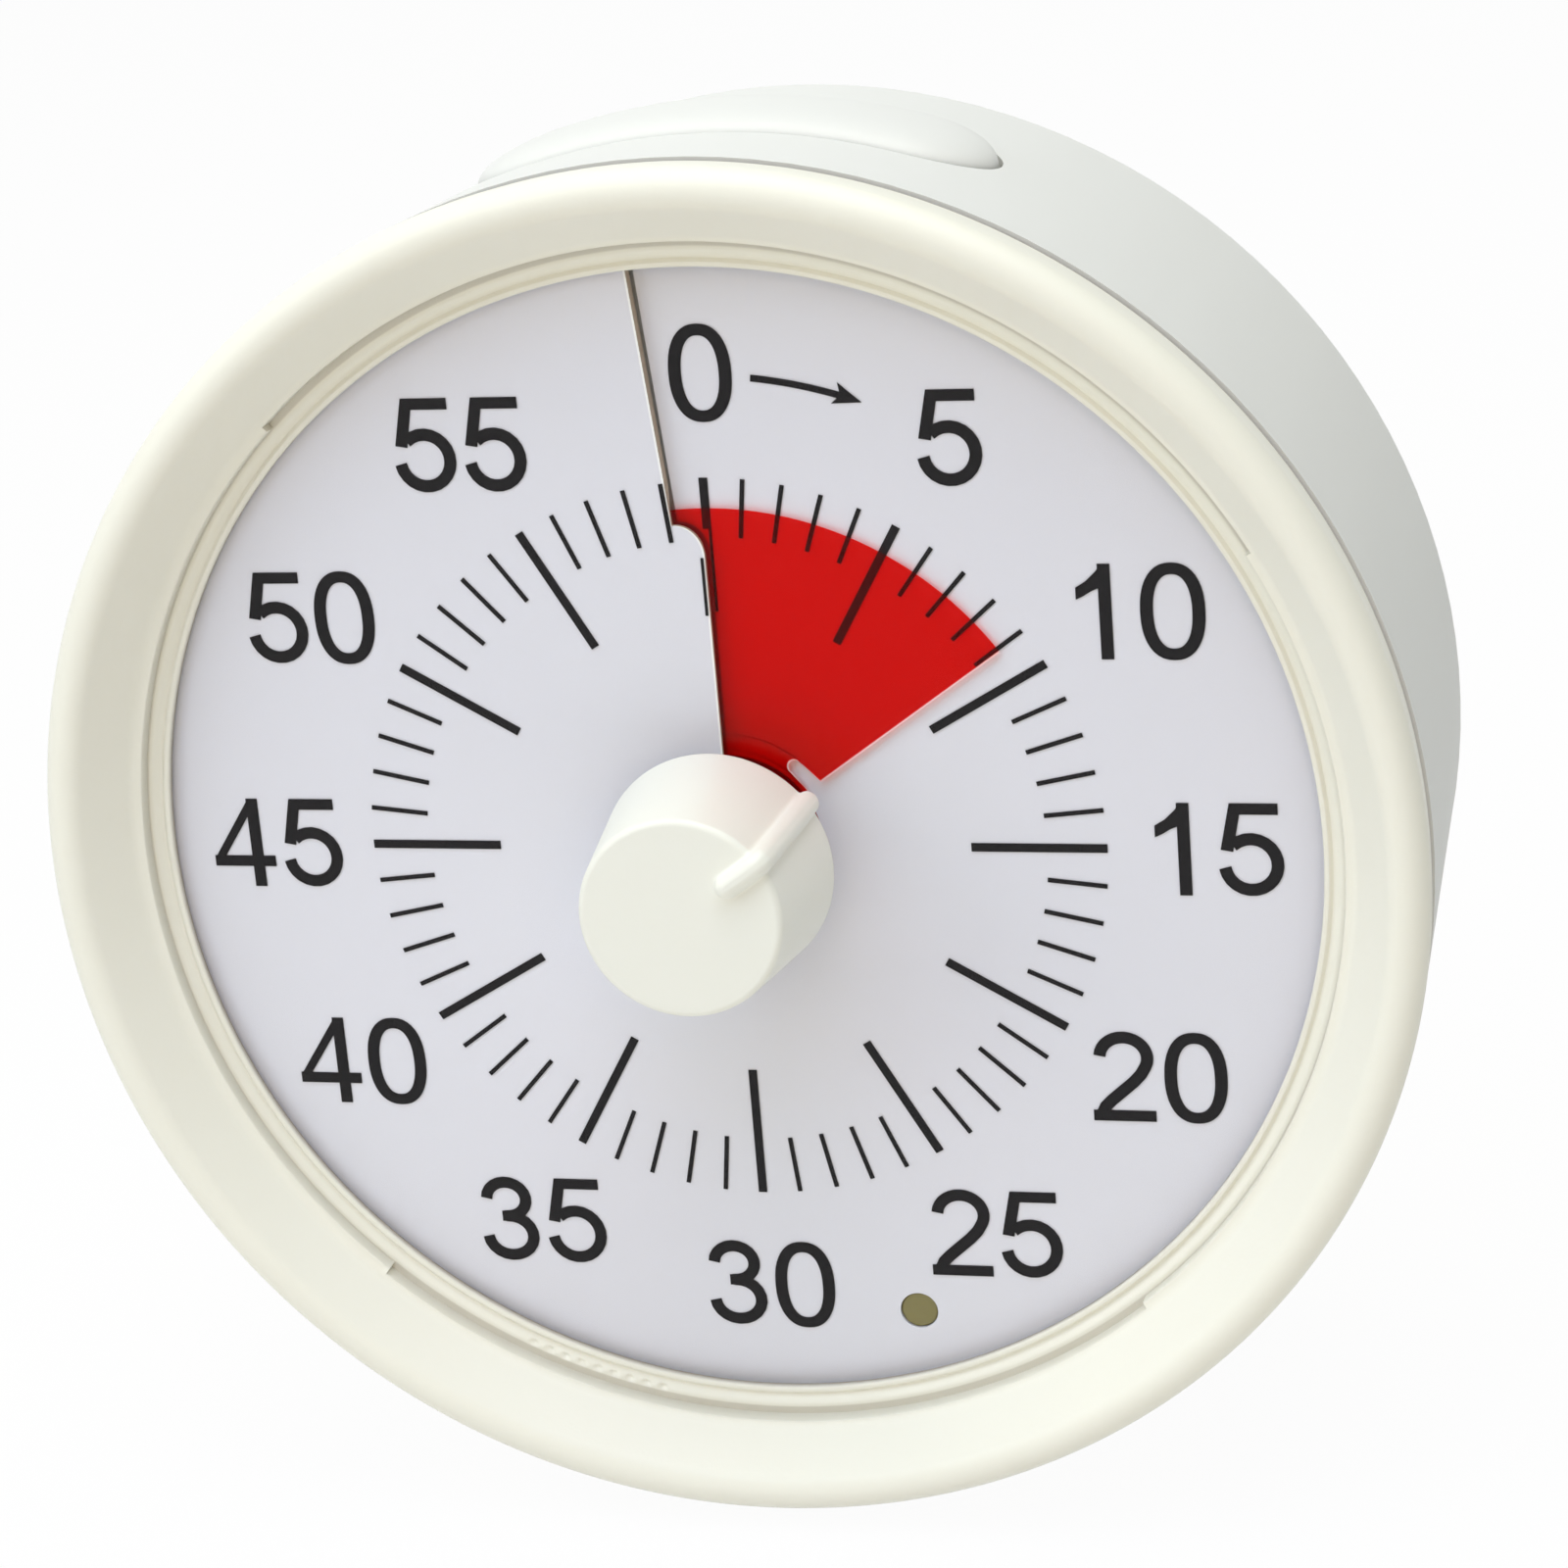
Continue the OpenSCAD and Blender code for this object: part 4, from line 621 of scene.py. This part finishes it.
class TIMER_OT_bezel(bpy.types.Operator):
    """Turn the bezel's profile round the dial, with pockets for the lens's tabs."""

    bl_idname = "timer.bezel"
    bl_label = "Bezel"

    def execute(self, context):
        s = context.scene.timer_case
        outer = radius_of("front_bezel")
        lens_bottom = back_of("lens")
        lens_r = outer - s.face_width
        slope = s.face_slope
        edge = s.edge_round
        nose = np.array([outer, front_of("front_bezel")]) - s.nose_round
        slope_end = nose + s.nose_round * np.array([-math.sin(slope), math.cos(slope)])
        hollow_x = lens_r + s.face_hollow
        hollow_z = slope_end[1] - (slope_end[0] - hollow_x) * math.tan(slope)
        hollow = s.face_hollow / math.sin(slope)
        lip_r = lens_r - s.ledge_width - s.lip_width
        lip_gap = 0.15 * MM
        dial_gap = 0.3 * MM
        seam_gap = 0.3 * MM
        bead = 0.1 * MM
        lip_z = DIAL_STEP + lip_gap
        skirt_in = radius_of("dial") + dial_gap
        skirt_out = radius_of("dial_carrier")
        skirt_z = -DIAL_STEP + 0.1 * MM
        seam_z = front_of("rear_housing") + seam_gap
        draft = math.atan2(s.side_draft, nose[1] - seam_z)
        bead_r = lens_r - s.ledge_width + bead
        bead_z = lens_bottom - bead
        flank_r = bead_r - 2 * bead
        shaded = 0.12 * MM

        def hollow_height(radius):
            """Height of the hollow at the foot of the face, an arc that ends level at the lens."""
            across = np.clip(radius - lens_r, 0, hollow)
            return hollow_z + hollow * math.cos(slope) - np.sqrt(hollow ** 2 - across ** 2)

        foot_r = lens_r + edge
        in_hollow = np.linspace(hollow_x, foot_r, 12)
        on_ledge = np.linspace(lens_r - 0.02 * MM, bead_r, 14)
        cove = np.clip((lens_r - s.seat_width - on_ledge) / (lens_r - s.seat_width - bead_r), 0, 1)
        side = 0.35 * MM
        parts = [
            arc([outer - s.side_draft - edge, seam_z + edge], edge, -90, -math.degrees(draft), 4),
            [[outer - s.side_draft + side * math.tan(draft), seam_z + side]],
            arc(nose, s.nose_round, -math.degrees(draft), 90 + math.degrees(slope), 28),
            np.stack([in_hollow, hollow_height(in_hollow)], -1),
            arc([foot_r, hollow_height(foot_r) - edge], edge, 90, 180, 5)[1:],
            [[lens_r, lens_bottom]],
            np.stack([
                on_ledge, lens_bottom - s.cove_depth * (0.5 - 0.5 * np.cos(math.pi * cove))], -1),
            rounded([[bead_r, lens_bottom - s.cove_depth, 0], [flank_r, bead_z, 0.07 * MM],
                     [lip_r, bead_z, 0.14 * MM], [lip_r, lip_z, 0.05 * MM], [skirt_in, lip_z, 0],
                     [skirt_in, skirt_z, 0], [skirt_out, skirt_z, 0],
                     [skirt_out, seam_z, 0]])[1:],
        ]
        profile = np.concatenate(parts)
        radius, height = profile.T
        part = np.repeat(np.arange(len(parts)), [len(points) for points in parts])
        moves = np.select(
            [part == 3, (part == 4) | (part == 5)],
            [(hollow_x - radius) / (hollow_x - foot_r), 1.0], 0)
        lifts = np.select(
            [part == 3, part == 4],
            [hollow_height(radius + s.tab_reach * moves) - hollow_height(radius),
             hollow_height(foot_r + s.tab_reach) - hollow_height(foot_r)], 0)
        # Painted shade: each point's share of the brown. It is darkest down the lip beside the dial and in the
        # seam to the housing, and lighter at the face's foot, the wall and the outer ledge.
        groove = np.select(
            [part == 0, part == 4, part == 5, part == 6, part == 7],
            [0.8, np.clip((foot_r - radius) / edge, 0, 1) * 0.12, 0.3,
             np.clip(1 - (on_ledge[0] - radius) / shaded, 0, 1) * 0.3,
             np.clip((bead_z - height) / (bead_z - lip_z), 0, 1) * (radius < flank_r)], 0)
        near_dimples = (DIMPLES[:, None] + DIMPLE_HALF * np.linspace(-1, 1, 9)).ravel()
        angles = full_turn(432, np.concatenate([tab_ends(), near_dimples]))

        def pockets(radius, height, angle):
            """Beside each tab the wall stands back by the tab's reach, and a row of shallow
            dimples sinks into the ledge near the wall."""
            tabbed = in_tabs(angle)
            row = sum(soft_bump(angle - dimple, DIMPLE_HALF) for dimple in DIMPLES)
            across = soft_bump(radius - (lens_r - 0.3 * MM), 0.24 * MM) * (part == 6)
            return (radius + s.tab_reach * moves * tabbed,
                    height + lifts * tabbed - s.dimple_depth * row * across)

        points = revolve(profile, angles, pockets)
        bezel = new_piece("bezel_ring", points, grid_faces(*points.shape[:2], True, True),
                          "case", "front_bezel", "bezel", sharp=40)
        mark(bezel, "groove", np.broadcast_to(groove, points.shape[:2]))
        return {"FINISHED"}


class TIMER_OT_lens(bpy.types.Operator):
    """Make the clear lens: a disc with rounded rims, two tabs and a hole for the knob."""

    bl_idname = "timer.lens"
    bl_label = "Lens"

    def execute(self, context):
        s = context.scene.timer_case
        top = front_of("lens")
        bottom = back_of("lens") + 0.03 * MM
        rim = radius_of("front_bezel") - s.face_width - 0.1 * MM
        edge = s.edge_round
        profile = rounded([[s.lens_hole, bottom, edge], [s.lens_hole, top, edge],
                           [rim, top, edge], [rim, bottom, edge]])
        def tabs(radius, height, angle):
            """The rim reaches further out inside the two tabs."""
            tabbed = in_tabs(angle, TAB_CLEARANCE)
            return radius + s.tab_reach * tabbed * (radius > rim - edge - 1e-7), height

        points = revolve(profile, full_turn(360, tab_ends(TAB_CLEARANCE)), tabs)
        new_piece("clear_lens", points, grid_faces(*points.shape[:2], True, True),
                  "case", "lens", "lens", sharp=40)
        return {"FINISHED"}


class TIMER_OT_mouldings(bpy.types.Operator):
    """Round the edges of the housing, battery door, slider and screws."""

    bl_idname = "timer.mouldings"
    bl_label = "Housing and door"

    def execute(self, context):
        s = context.scene.timer_case
        small = s.mould_round / 3
        copy_of("rear_housing", "housing_shell", "case", "housing", s.mould_round)
        copy_of("battery_door", "battery_cover", "battery_door", "housing", s.mould_round)
        copy_of("volume_slider", "volume_key", "volume_slider", "housing", small)
        copy_of("case_screws", "housing_screws", "case", "steel", small)
        copy_of("foot_pads", "rubber_feet", "case", "rubber", s.mould_round)
        return {"FINISHED"}


def slit_angle(sizes, radius, corner_r):
    """Angle of the dial's slit at a radius: zero inside the corner, then a quarter ellipse back
    to the slit's shift."""
    share = np.clip((radius - corner_r) / sizes.slit_corner, 0, 1)
    return -sizes.slit_shift * (1 - np.sqrt(1 - share ** 2))


def helical_sheet(radii, first, last, middle, thickness, steps, edge, extra=None):
    """A thin sheet that climbs by the dial's step in a turn: at the angle a its middle lies at
    height step * a / 2 pi. Rows go by angle, evenly and then at the edge's distances from the
    last angle; columns go out over the top and back underneath. extra(radius, distance from
    the last edge) makes the sheet thicker below. Gives the points, the faces and each point's
    distance from the last edge."""
    edge = edge[:, None]
    share = np.linspace(0, 1, steps)[:, None]
    start_of_edge = last - edge[0] / radii
    angles = np.concatenate([first + (start_of_edge - first) * share, last - edge[1:] / radii])
    heights = middle + DIAL_STEP * angles / (2 * math.pi)
    distance = (last - angles) * radii
    below = extra(radii, distance) if extra else 0
    top = on_case(radii, angles, heights + thickness / 2)
    under = on_case(radii, angles, heights - thickness / 2 - below)
    points = np.concatenate([top, under[:, ::-1]], 1)
    rows, columns = points.shape[:2]
    faces = grid_faces(rows, columns, False, True)
    ends = np.arange(columns // 2 - 1)[:, None]
    for row in (0, rows - 1):
        cap = np.concatenate([ends, ends + 1, columns - 2 - ends, columns - 1 - ends], 1)
        faces += (cap + row * columns).tolist()
    return points, faces, np.concatenate([distance, distance[:, ::-1]], 1)


class TIMER_OT_dial(bpy.types.Operator):
    """Make the dial: a thin sheet, slit once and twisted up, with the light's window."""

    bl_idname = "timer.dial"
    bl_label = "Dial"

    def execute(self, context):
        s = context.scene.timer_dial
        rim = radius_of("dial")
        corner_r = radius_of("red_film") - s.corner_inset
        slit_top = corner_r + s.slit_corner
        radii = np.concatenate([
            [s.dial_hole, s.dial_hole + EDGE_BAND], np.linspace(7, 17, 6) * MM,
            corner_r + s.slit_corner * np.sin(np.linspace(0, math.pi / 2, 14)),
            np.linspace(20, 33.8, 12) * MM, [rim - EDGE_BAND, rim]])
        flap = 0.9 * MM
        rise = 0.6 * MM
        gap = s.slit_width / slit_top
        cut = slit_angle(s, radii, corner_r)
        edge = np.array([1.6, 0.9, 0.45, s.core_width / MM + 0.03, s.core_width / MM, 0.08, 0]) * MM

        def turned_down(radius, distance):
            """The slit's high side is stiffer beyond the film's reach."""
            beyond = np.clip((radius - slit_top - flap) / rise, 0, 1)
            return s.flap_turn_down * beyond * np.clip(1.1 - distance / flap, 0, 1)

        points, faces, distance = helical_sheet(
            radii, cut + gap / 2, cut + 2 * math.pi - gap / 2, -s.dial_thickness / 2,
            s.dial_thickness, 361, edge, turned_down)
        dial = new_piece("dial_sheet", points, faces, "case", "dial", "dial")
        # Painted highlight: a paler band along the slit's high edge.
        mark(dial, "core", distance < s.core_width + 1e-6)
        # Painted shade: the cut face itself takes the beige-brown of the cut slot.
        dial.data.materials.append(finish_of("cut"))
        corners = np.zeros(len(dial.data.loops), int)
        dial.data.loops.foreach_get("vertex_index", corners)
        cut_face = (distance.ravel()[corners.reshape(-1, 4)] < 1e-9).all(1)
        dial.data.polygons.foreach_set("material_index", cut_face.astype(int))
        low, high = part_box("signal_light")
        self.cut_window(dial, (low + high) / 2, s.window_radius)
        return {"FINISHED"}

    def cut_window(self, dial, middle, radius):
        """Cuts a round hole in front of the signal light."""
        cutter_mesh = bpy.data.meshes.new("window_cutter")
        shape = bmesh.new()
        bmesh.ops.create_cone(shape, cap_ends=True, segments=96, radius1=radius, radius2=radius,
                              depth=4 * MM, matrix=Matrix.Rotation(math.pi / 2, 4, "X"))
        shape.to_mesh(cutter_mesh)
        shape.free()
        cutter_mesh.transform(Matrix.Translation((middle.x, AXIS[1], middle.z)))
        cutter = in_scene("window_cutter", cutter_mesh)
        hole = dial.modifiers.new("Window", "BOOLEAN")
        hole.object = cutter
        hole.solver = "EXACT"
        dial.modifiers.move(len(dial.modifiers) - 1, 0)
        with bpy.context.temp_override(object=dial, active_object=dial):
            bpy.ops.object.modifier_apply(modifier="Window")
        bpy.data.objects.remove(cutter)


class TIMER_OT_film(bpy.types.Operator):
    """Make the red film, half a step above the dial, with the notch at its leading edge."""

    bl_idname = "timer.film"
    bl_label = "Film"

    def execute(self, context):
        s = context.scene.timer_dial
        edge = radius_of("red_film")
        inner = radius_of("film_hub") + 0.02 * MM
        half = s.notch_width / 2
        notch = s.notch_start + half
        across = notch + half * np.sin(np.linspace(-math.pi / 2, math.pi / 2, 15))
        radii = np.concatenate([
            [inner, s.notch_start - EDGE_BAND], across,
            [s.notch_start + s.notch_width + EDGE_BAND], np.linspace(8, 19, 8) * MM,
            [edge - 0.05 * MM, edge]])
        inside = np.abs(radii - notch) <= half + 1e-8
        back = np.where(inside, s.notch_turn + np.sqrt(
            np.clip(half ** 2 - (radii - notch) ** 2, 0, None)) / notch, 0)
        gap = s.slit_width / (edge - s.corner_inset + s.slit_corner)
        points, faces, distance = helical_sheet(
            radii, np.full_like(radii, SET_ANGLE - 2 * math.pi + gap), SET_ANGLE - back,
            (DIAL_STEP - s.dial_thickness) / 2, s.film_thickness, 321,
            np.array([0.4 * MM, s.film_rim + 0.02 * MM, s.film_rim, 0]))
        film = new_piece("film_sheet", points, faces, "film", "red_film", "film")
        # Painted highlight: the pale band along the leading edge and the notch.
        mark(film, "rim", distance < s.film_rim + 1e-6)
        return {"FINISHED"}


class TIMER_OT_knob(bpy.types.Operator):
    """Make the knob: a tapered cap whose surface swells into a soft pointer."""

    bl_idname = "timer.knob"
    bl_label = "Knob"

    def execute(self, context):
        s = context.scene.timer_knob
        foot_r = radius_of("knob")
        neck_z = back_of("knob")
        foot_gap = 1.1 * MM
        foot_z = front_of("lens") + foot_gap
        face_z = front_of("knob") - s.pointer_height
        bend_z = face_z - s.knob_round
        side_angle = math.degrees(math.atan2(foot_r - s.knob_face, bend_z - foot_z))
        bend = arc([s.knob_face - s.knob_round, bend_z], s.knob_round, 90, side_angle, 12)
        down = np.array([foot_r, foot_z]) - bend[-1]
        length = np.linalg.norm(down)
        steps = np.linspace(0, length - s.foot_round, 50)[1:, None]
        face_radii = np.concatenate([np.linspace(0, 1.5, 6), np.linspace(1.6, 5.3, 46)]) * MM
        face = np.stack([face_radii, np.full_like(face_radii, face_z)], -1)
        side = bend[-1] + down / length * steps
        foot = rounded([side[-1].tolist() + [0], [foot_r, foot_z, s.foot_round],
                        [s.knob_neck, foot_z, 0], [s.knob_neck, neck_z, 0.15 * MM],
                        [0, neck_z, 0], [0, foot_z, 0]])[1:-2]
        profile = np.concatenate([face, bend, side, foot, [[0, neck_z]]])
        outside = len(face) + len(bend) + len(side)
        wide = math.radians(24)
        angles = np.unique(np.concatenate([
            SET_ANGLE + np.linspace(-wide, wide, 121),
            SET_ANGLE + np.linspace(wide, 2 * math.pi - wide, 91)[1:-1]]))
        points = self.swell(profile, outside, angles, s)
        closed = np.concatenate([points, points[:1]])
        new_piece("knob_cap", closed, grid_faces(*closed.shape[:2]), "knob", "knob", "knob",
                  sharp=50)
        return {"FINISHED"}

    def swell(self, profile, outside, angles, s):
        """Lifts the profile's surface along its own normal by the pointer's height. The pointer
        is a round bar that lies on the surface along one line: its height over a point is
        lift + sqrt(half width squared - distance squared), softly joined to zero."""
        ahead = np.roll(profile, -1, 0) - np.roll(profile, 1, 0)
        ahead[0] = profile[1] - profile[0]
        normal = np.stack([-ahead[:, 1], ahead[:, 0]], -1)
        length = np.linalg.norm(normal, axis=1, keepdims=True)
        normal = normal / np.where(length > 0, length, 1)
        travel = np.concatenate([[0], np.cumsum(np.linalg.norm(np.diff(profile, axis=0), axis=1))])
        half = s.pointer_width / 2
        lift = s.pointer_height - half
        start = s.pointer_start + half
        tip = half * 0.55
        spread = half * 2.6
        end = travel[outside - 1] - tip
        off = np.angle(np.exp(1j * (angles - SET_ANGLE)))[:, None]
        flat = np.abs(off) < math.pi / 2
        radius, level = profile.T
        sideways = np.where(flat, radius * np.sin(off), radius + half)
        along = np.where(flat, travel - radius * (1 - np.cos(off)), travel)
        past = np.maximum(np.maximum(start - along, along - end), 0)
        distance = np.hypot(sideways, past)
        beside = np.clip(distance - half, 0, None)
        bar = lift + np.sqrt(np.clip(half ** 2 - distance ** 2, 0, None)) - 3 * beside

        def softened(bar):
            """The bar where it stands well proud, and nearly zero where it is far below."""
            return (bar + np.sqrt(bar ** 2 + s.pointer_fillet ** 2)) / 2

        fade = np.clip((spread - distance) / half, 0, 1)
        height = (softened(bar) - softened(bar.min())) * fade
        height = np.where(np.arange(len(profile)) < outside, height, 0)
        height = np.clip(height, 0, s.pointer_height)
        return on_case(
            radius + normal[:, 0] * height, angles[:, None], level + normal[:, 1] * height)


class TIMER_OT_button(bpy.types.Operator):
    """Make the top button: a long pad, curved with the case, with softly rounded edges."""

    bl_idname = "timer.button"
    bl_label = "Top button"

    def execute(self, context):
        s = context.scene.timer_knob
        low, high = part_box("top_button")
        top_r = high.z - AXIS[2]
        middle_y = (low.y + high.y) / 2
        half_length = (s.button_length - s.button_width) / 2
        half_width = s.button_width / 2
        share = np.cos(np.linspace(0, math.pi / 2, 29))
        inset = half_width * (1 - share)
        turns = np.linspace(-math.pi / 2, math.pi / 2, 41)
        straight = np.linspace(-half_length, half_length, 33)[1:-1]
        end = np.full_like(turns, half_length)
        side = np.ones_like(straight)
        end_x = np.concatenate([end, -straight, -end, straight])
        way_x = np.concatenate([np.cos(turns), 0 * side, -np.cos(turns), 0 * side])
        way_y = np.concatenate([np.sin(turns), side, -np.sin(turns), -side])
        reach = half_width - inset[:, None]
        x = end_x + way_x * reach
        y = way_y * reach
        drop = s.button_drop * (1 - (1 - share ** PILLOW) ** (1 / PILLOW))
        z = np.sqrt(top_r ** 2 - x ** 2) - drop[:, None]
        flare = s.button_flare
        skirt = [np.stack([x[0] + way_x * out, y[0] + way_y * out, z[0] - down], -1)
                 for out, down in ((flare, 1.2 * MM), (flare, 0.25 * MM), (0, 0.1 * MM))]
        rings = np.concatenate([np.stack(skirt), np.stack([x, y, z], -1)])
        points = rings + np.array([0, middle_y, AXIS[2]])
        rows, columns = points.shape[:2]
        faces = grid_faces(rows, columns, False, True) + [list(range(columns))[::-1]]
        new_piece("button_pad", points, faces, "start_button", "top_button", "housing", sharp=60)
        return {"FINISHED"}


class TIMER_OT_light(bpy.types.Operator):
    """Make the signal light: a domed resin body on a flange."""

    bl_idname = "timer.light"
    bl_label = "Signal light"

    def execute(self, context):
        low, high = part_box("signal_light")
        centre = (low + high) / 2
        top = front_of("signal_light")
        nose_r = context.scene.timer_dial.window_radius - 0.05 * MM
        body_r = 1.45 * MM
        body_h = 4.6 * MM
        flange_h = 0.8 * MM
        shoulder_z = top - 0.2 * MM
        flange_r = (high.x - low.x) / 2
        flange_z = shoulder_z - body_h
        base_z = flange_z - flange_h
        edge = 0.1 * MM
        profile = rounded([
            [0, top, 0], [nose_r, top, edge], [nose_r, shoulder_z, 0], [body_r, shoulder_z, edge],
            [body_r, flange_z, 0], [flange_r, flange_z, edge], [flange_r, base_z, edge / 2],
            [0, base_z, 0]])
        angles = np.linspace(0, 2 * math.pi, 73)[:, None]
        points = on_case(profile[:, 0], angles, profile[:, 1])
        points += [centre.x - AXIS[0], 0, centre.z - AXIS[2]]
        new_piece("signal_dome", points, grid_faces(*points.shape[:2]), "case",
                  "signal_light", "light", sharp=50)
        return {"FINISHED"}


class TIMER_OT_works(bpy.types.Operator):
    """Give each CAD node that stays its finish: marks, carrier, movement, board and battery."""

    bl_idname = "timer.works"
    bl_label = "Marks and inner works"

    def execute(self, context):
        slots = {row["node"]: row["material_slot"] for row in frame["record"]["subparts"]}
        for name, piece in frame["nodes"].items():
            if piece.hide_render:
                continue
            piece.data.materials.clear()
            piece.data.materials.append(finish_of(slots[name]))
        return {"FINISHED"}


class TIMER_OT_studio(bpy.types.Operator):
    """Set up the floor, soft lights, world and camera."""

    bl_idname = "timer.studio"
    bl_label = "Studio"

    def execute(self, context):
        self.floor()
        self.lights()
        self.world()
        self.camera()
        context.scene.view_settings.view_transform = "Standard"
        return {"FINISHED"}

    def floor(self):
        half = 3.0
        points = np.array([[-half, -half, 0], [half, -half, 0], [half, half, 0], [-half, half, 0]])
        mesh = bpy.data.meshes.new("studio_floor")
        mesh.from_pydata(points.tolist(), [], [[0, 1, 2, 3]])
        finish = Finish("White sweep")
        paint = finish.surface({"Base Color": (0.85, 0.85, 0.85, 1), "Roughness": 0.9})
        glow = finish.add("ShaderNodeEmission", {}, {"Color": CLEAR, "Strength": 1.0})
        mesh.materials.append(finish.close(finish.mix(finish.seen() * FLOOR_GLOW, paint, glow)))
        in_scene("studio_floor", mesh)

    def lights(self):
        """Soft round panels, each at an azimuth and elevation from the dial, with its distance,
        its width and the red, green and blue light that it sheds on a surface facing it."""
        panels = [
            ("left_panel", -40, 45, 0.7, 0.45, (0.157, 0.190, 0.212)),
            ("low_left_panel", -55, 20, 0.7, 0.45, (0.174, 0.176, 0.172)),
            ("high_panel", 5, 62, 0.7, 0.5, (0.195, 0.215, 0.302)),
            ("ceiling_panel", 0, 88, 0.7, 0.6, (0.604, 0.570, 0.479)),
            ("front_panel", 15, 18, 1.0, 0.7, (0.154, 0.111, 0.053)),
            ("right_panel", 60, 65, 0.7, 0.5, (0.033, 0.076, 0.087)),
        ]
        for name, azimuth, elevation, distance, width, light in panels:
            back = direction(azimuth, elevation)
            panel = bpy.data.lights.new(name, "AREA")
            panel.shape = "DISK"
            panel.size = width
            panel.energy = max(light) * (math.pi * distance) ** 2
            panel.color = [channel / max(light) for channel in light]
            lamp = in_scene(name, panel)
            lamp.location = Vector(AXIS) + back * distance
            lamp.rotation_euler = back.to_track_quat("Z", "Y").to_euler()

    def world(self):
        """White where it is seen, and dimmer as a light on the pieces."""
        finish = Finish("Studio air", "worlds")
        air = finish.add("ShaderNodeBackground", {}, {
            "Color": CLEAR, "Strength": finish.seen() * (1 - AIR_LIGHT) + AIR_LIGHT})
        bpy.context.scene.world = finish.close(air, "ShaderNodeOutputWorld")

    def camera(self):
        """A long lens in front of the dial, to the right of it and above it, rolled a little."""
        azimuth = 15.473
        elevation = 18.812
        roll = math.radians(-4.747)
        aside = 2.808 * MM
        above = 3.392 * MM
        away = 240.456 * MM
        right = direction(azimuth + 90, 0)
        back = direction(azimuth, elevation)
        up = back.cross(right)
        rolled_right = right * math.cos(roll) + up * math.sin(roll)
        rolled_up = up * math.cos(roll) - right * math.sin(roll)
        lens = bpy.data.cameras.new("front_view")
        lens.sensor_width = 36
        lens.lens = 96.716
        lens.clip_start = 0.01
        lens.clip_end = 20
        camera = in_scene("front_view", lens)
        turned = Matrix((rolled_right, rolled_up, back)).transposed()
        stand = Vector(AXIS) + rolled_right * aside + rolled_up * above + back * away
        camera.matrix_world = Matrix.Translation(stand) @ turned.to_4x4()
        bpy.context.scene.camera = camera


OPERATORS = [
    TIMER_OT_bezel, TIMER_OT_lens, TIMER_OT_mouldings, TIMER_OT_dial, TIMER_OT_film,
    TIMER_OT_knob, TIMER_OT_button, TIMER_OT_light, TIMER_OT_works, TIMER_OT_studio,
]


class TIMER_PT_panel(bpy.types.Panel):
    """Lists the timer's pieces and sizes."""

    bl_idname = "TIMER_PT_panel"
    bl_label = "Visual timer"
    bl_space_type = "VIEW_3D"
    bl_region_type = "UI"
    bl_category = "Timer"

    def draw(self, context):
        for operator in OPERATORS:
            self.layout.operator(operator.bl_idname, text=operator.bl_label)
        for name in GROUPS:
            group = getattr(context.scene, name)
            box = self.layout.box()
            for key in group.bl_rna.properties.keys():
                if key not in ("rna_type", "name"):
                    box.prop(group, key)


GROUPS = {
    "timer_case": CaseSizes,
    "timer_dial": DialSizes,
    "timer_knob": KnobSizes,
    "timer_colours": FinishColours,
}
CLASSES = [*GROUPS.values(), *OPERATORS, TIMER_PT_panel]


def register():
    for kind in CLASSES:
        bpy.utils.register_class(kind)
    for name, group in GROUPS.items():
        setattr(bpy.types.Scene, name, bpy.props.PointerProperty(type=group))


def unregister():
    for name in GROUPS:
        delattr(bpy.types.Scene, name)
    for kind in reversed(CLASSES):
        bpy.utils.unregister_class(kind)


def main():
    register()
    for operator in OPERATORS:
        group, name = operator.bl_idname.split(".")
        getattr(getattr(bpy.ops, group), name)()


if __name__ == "__main__":
    main()
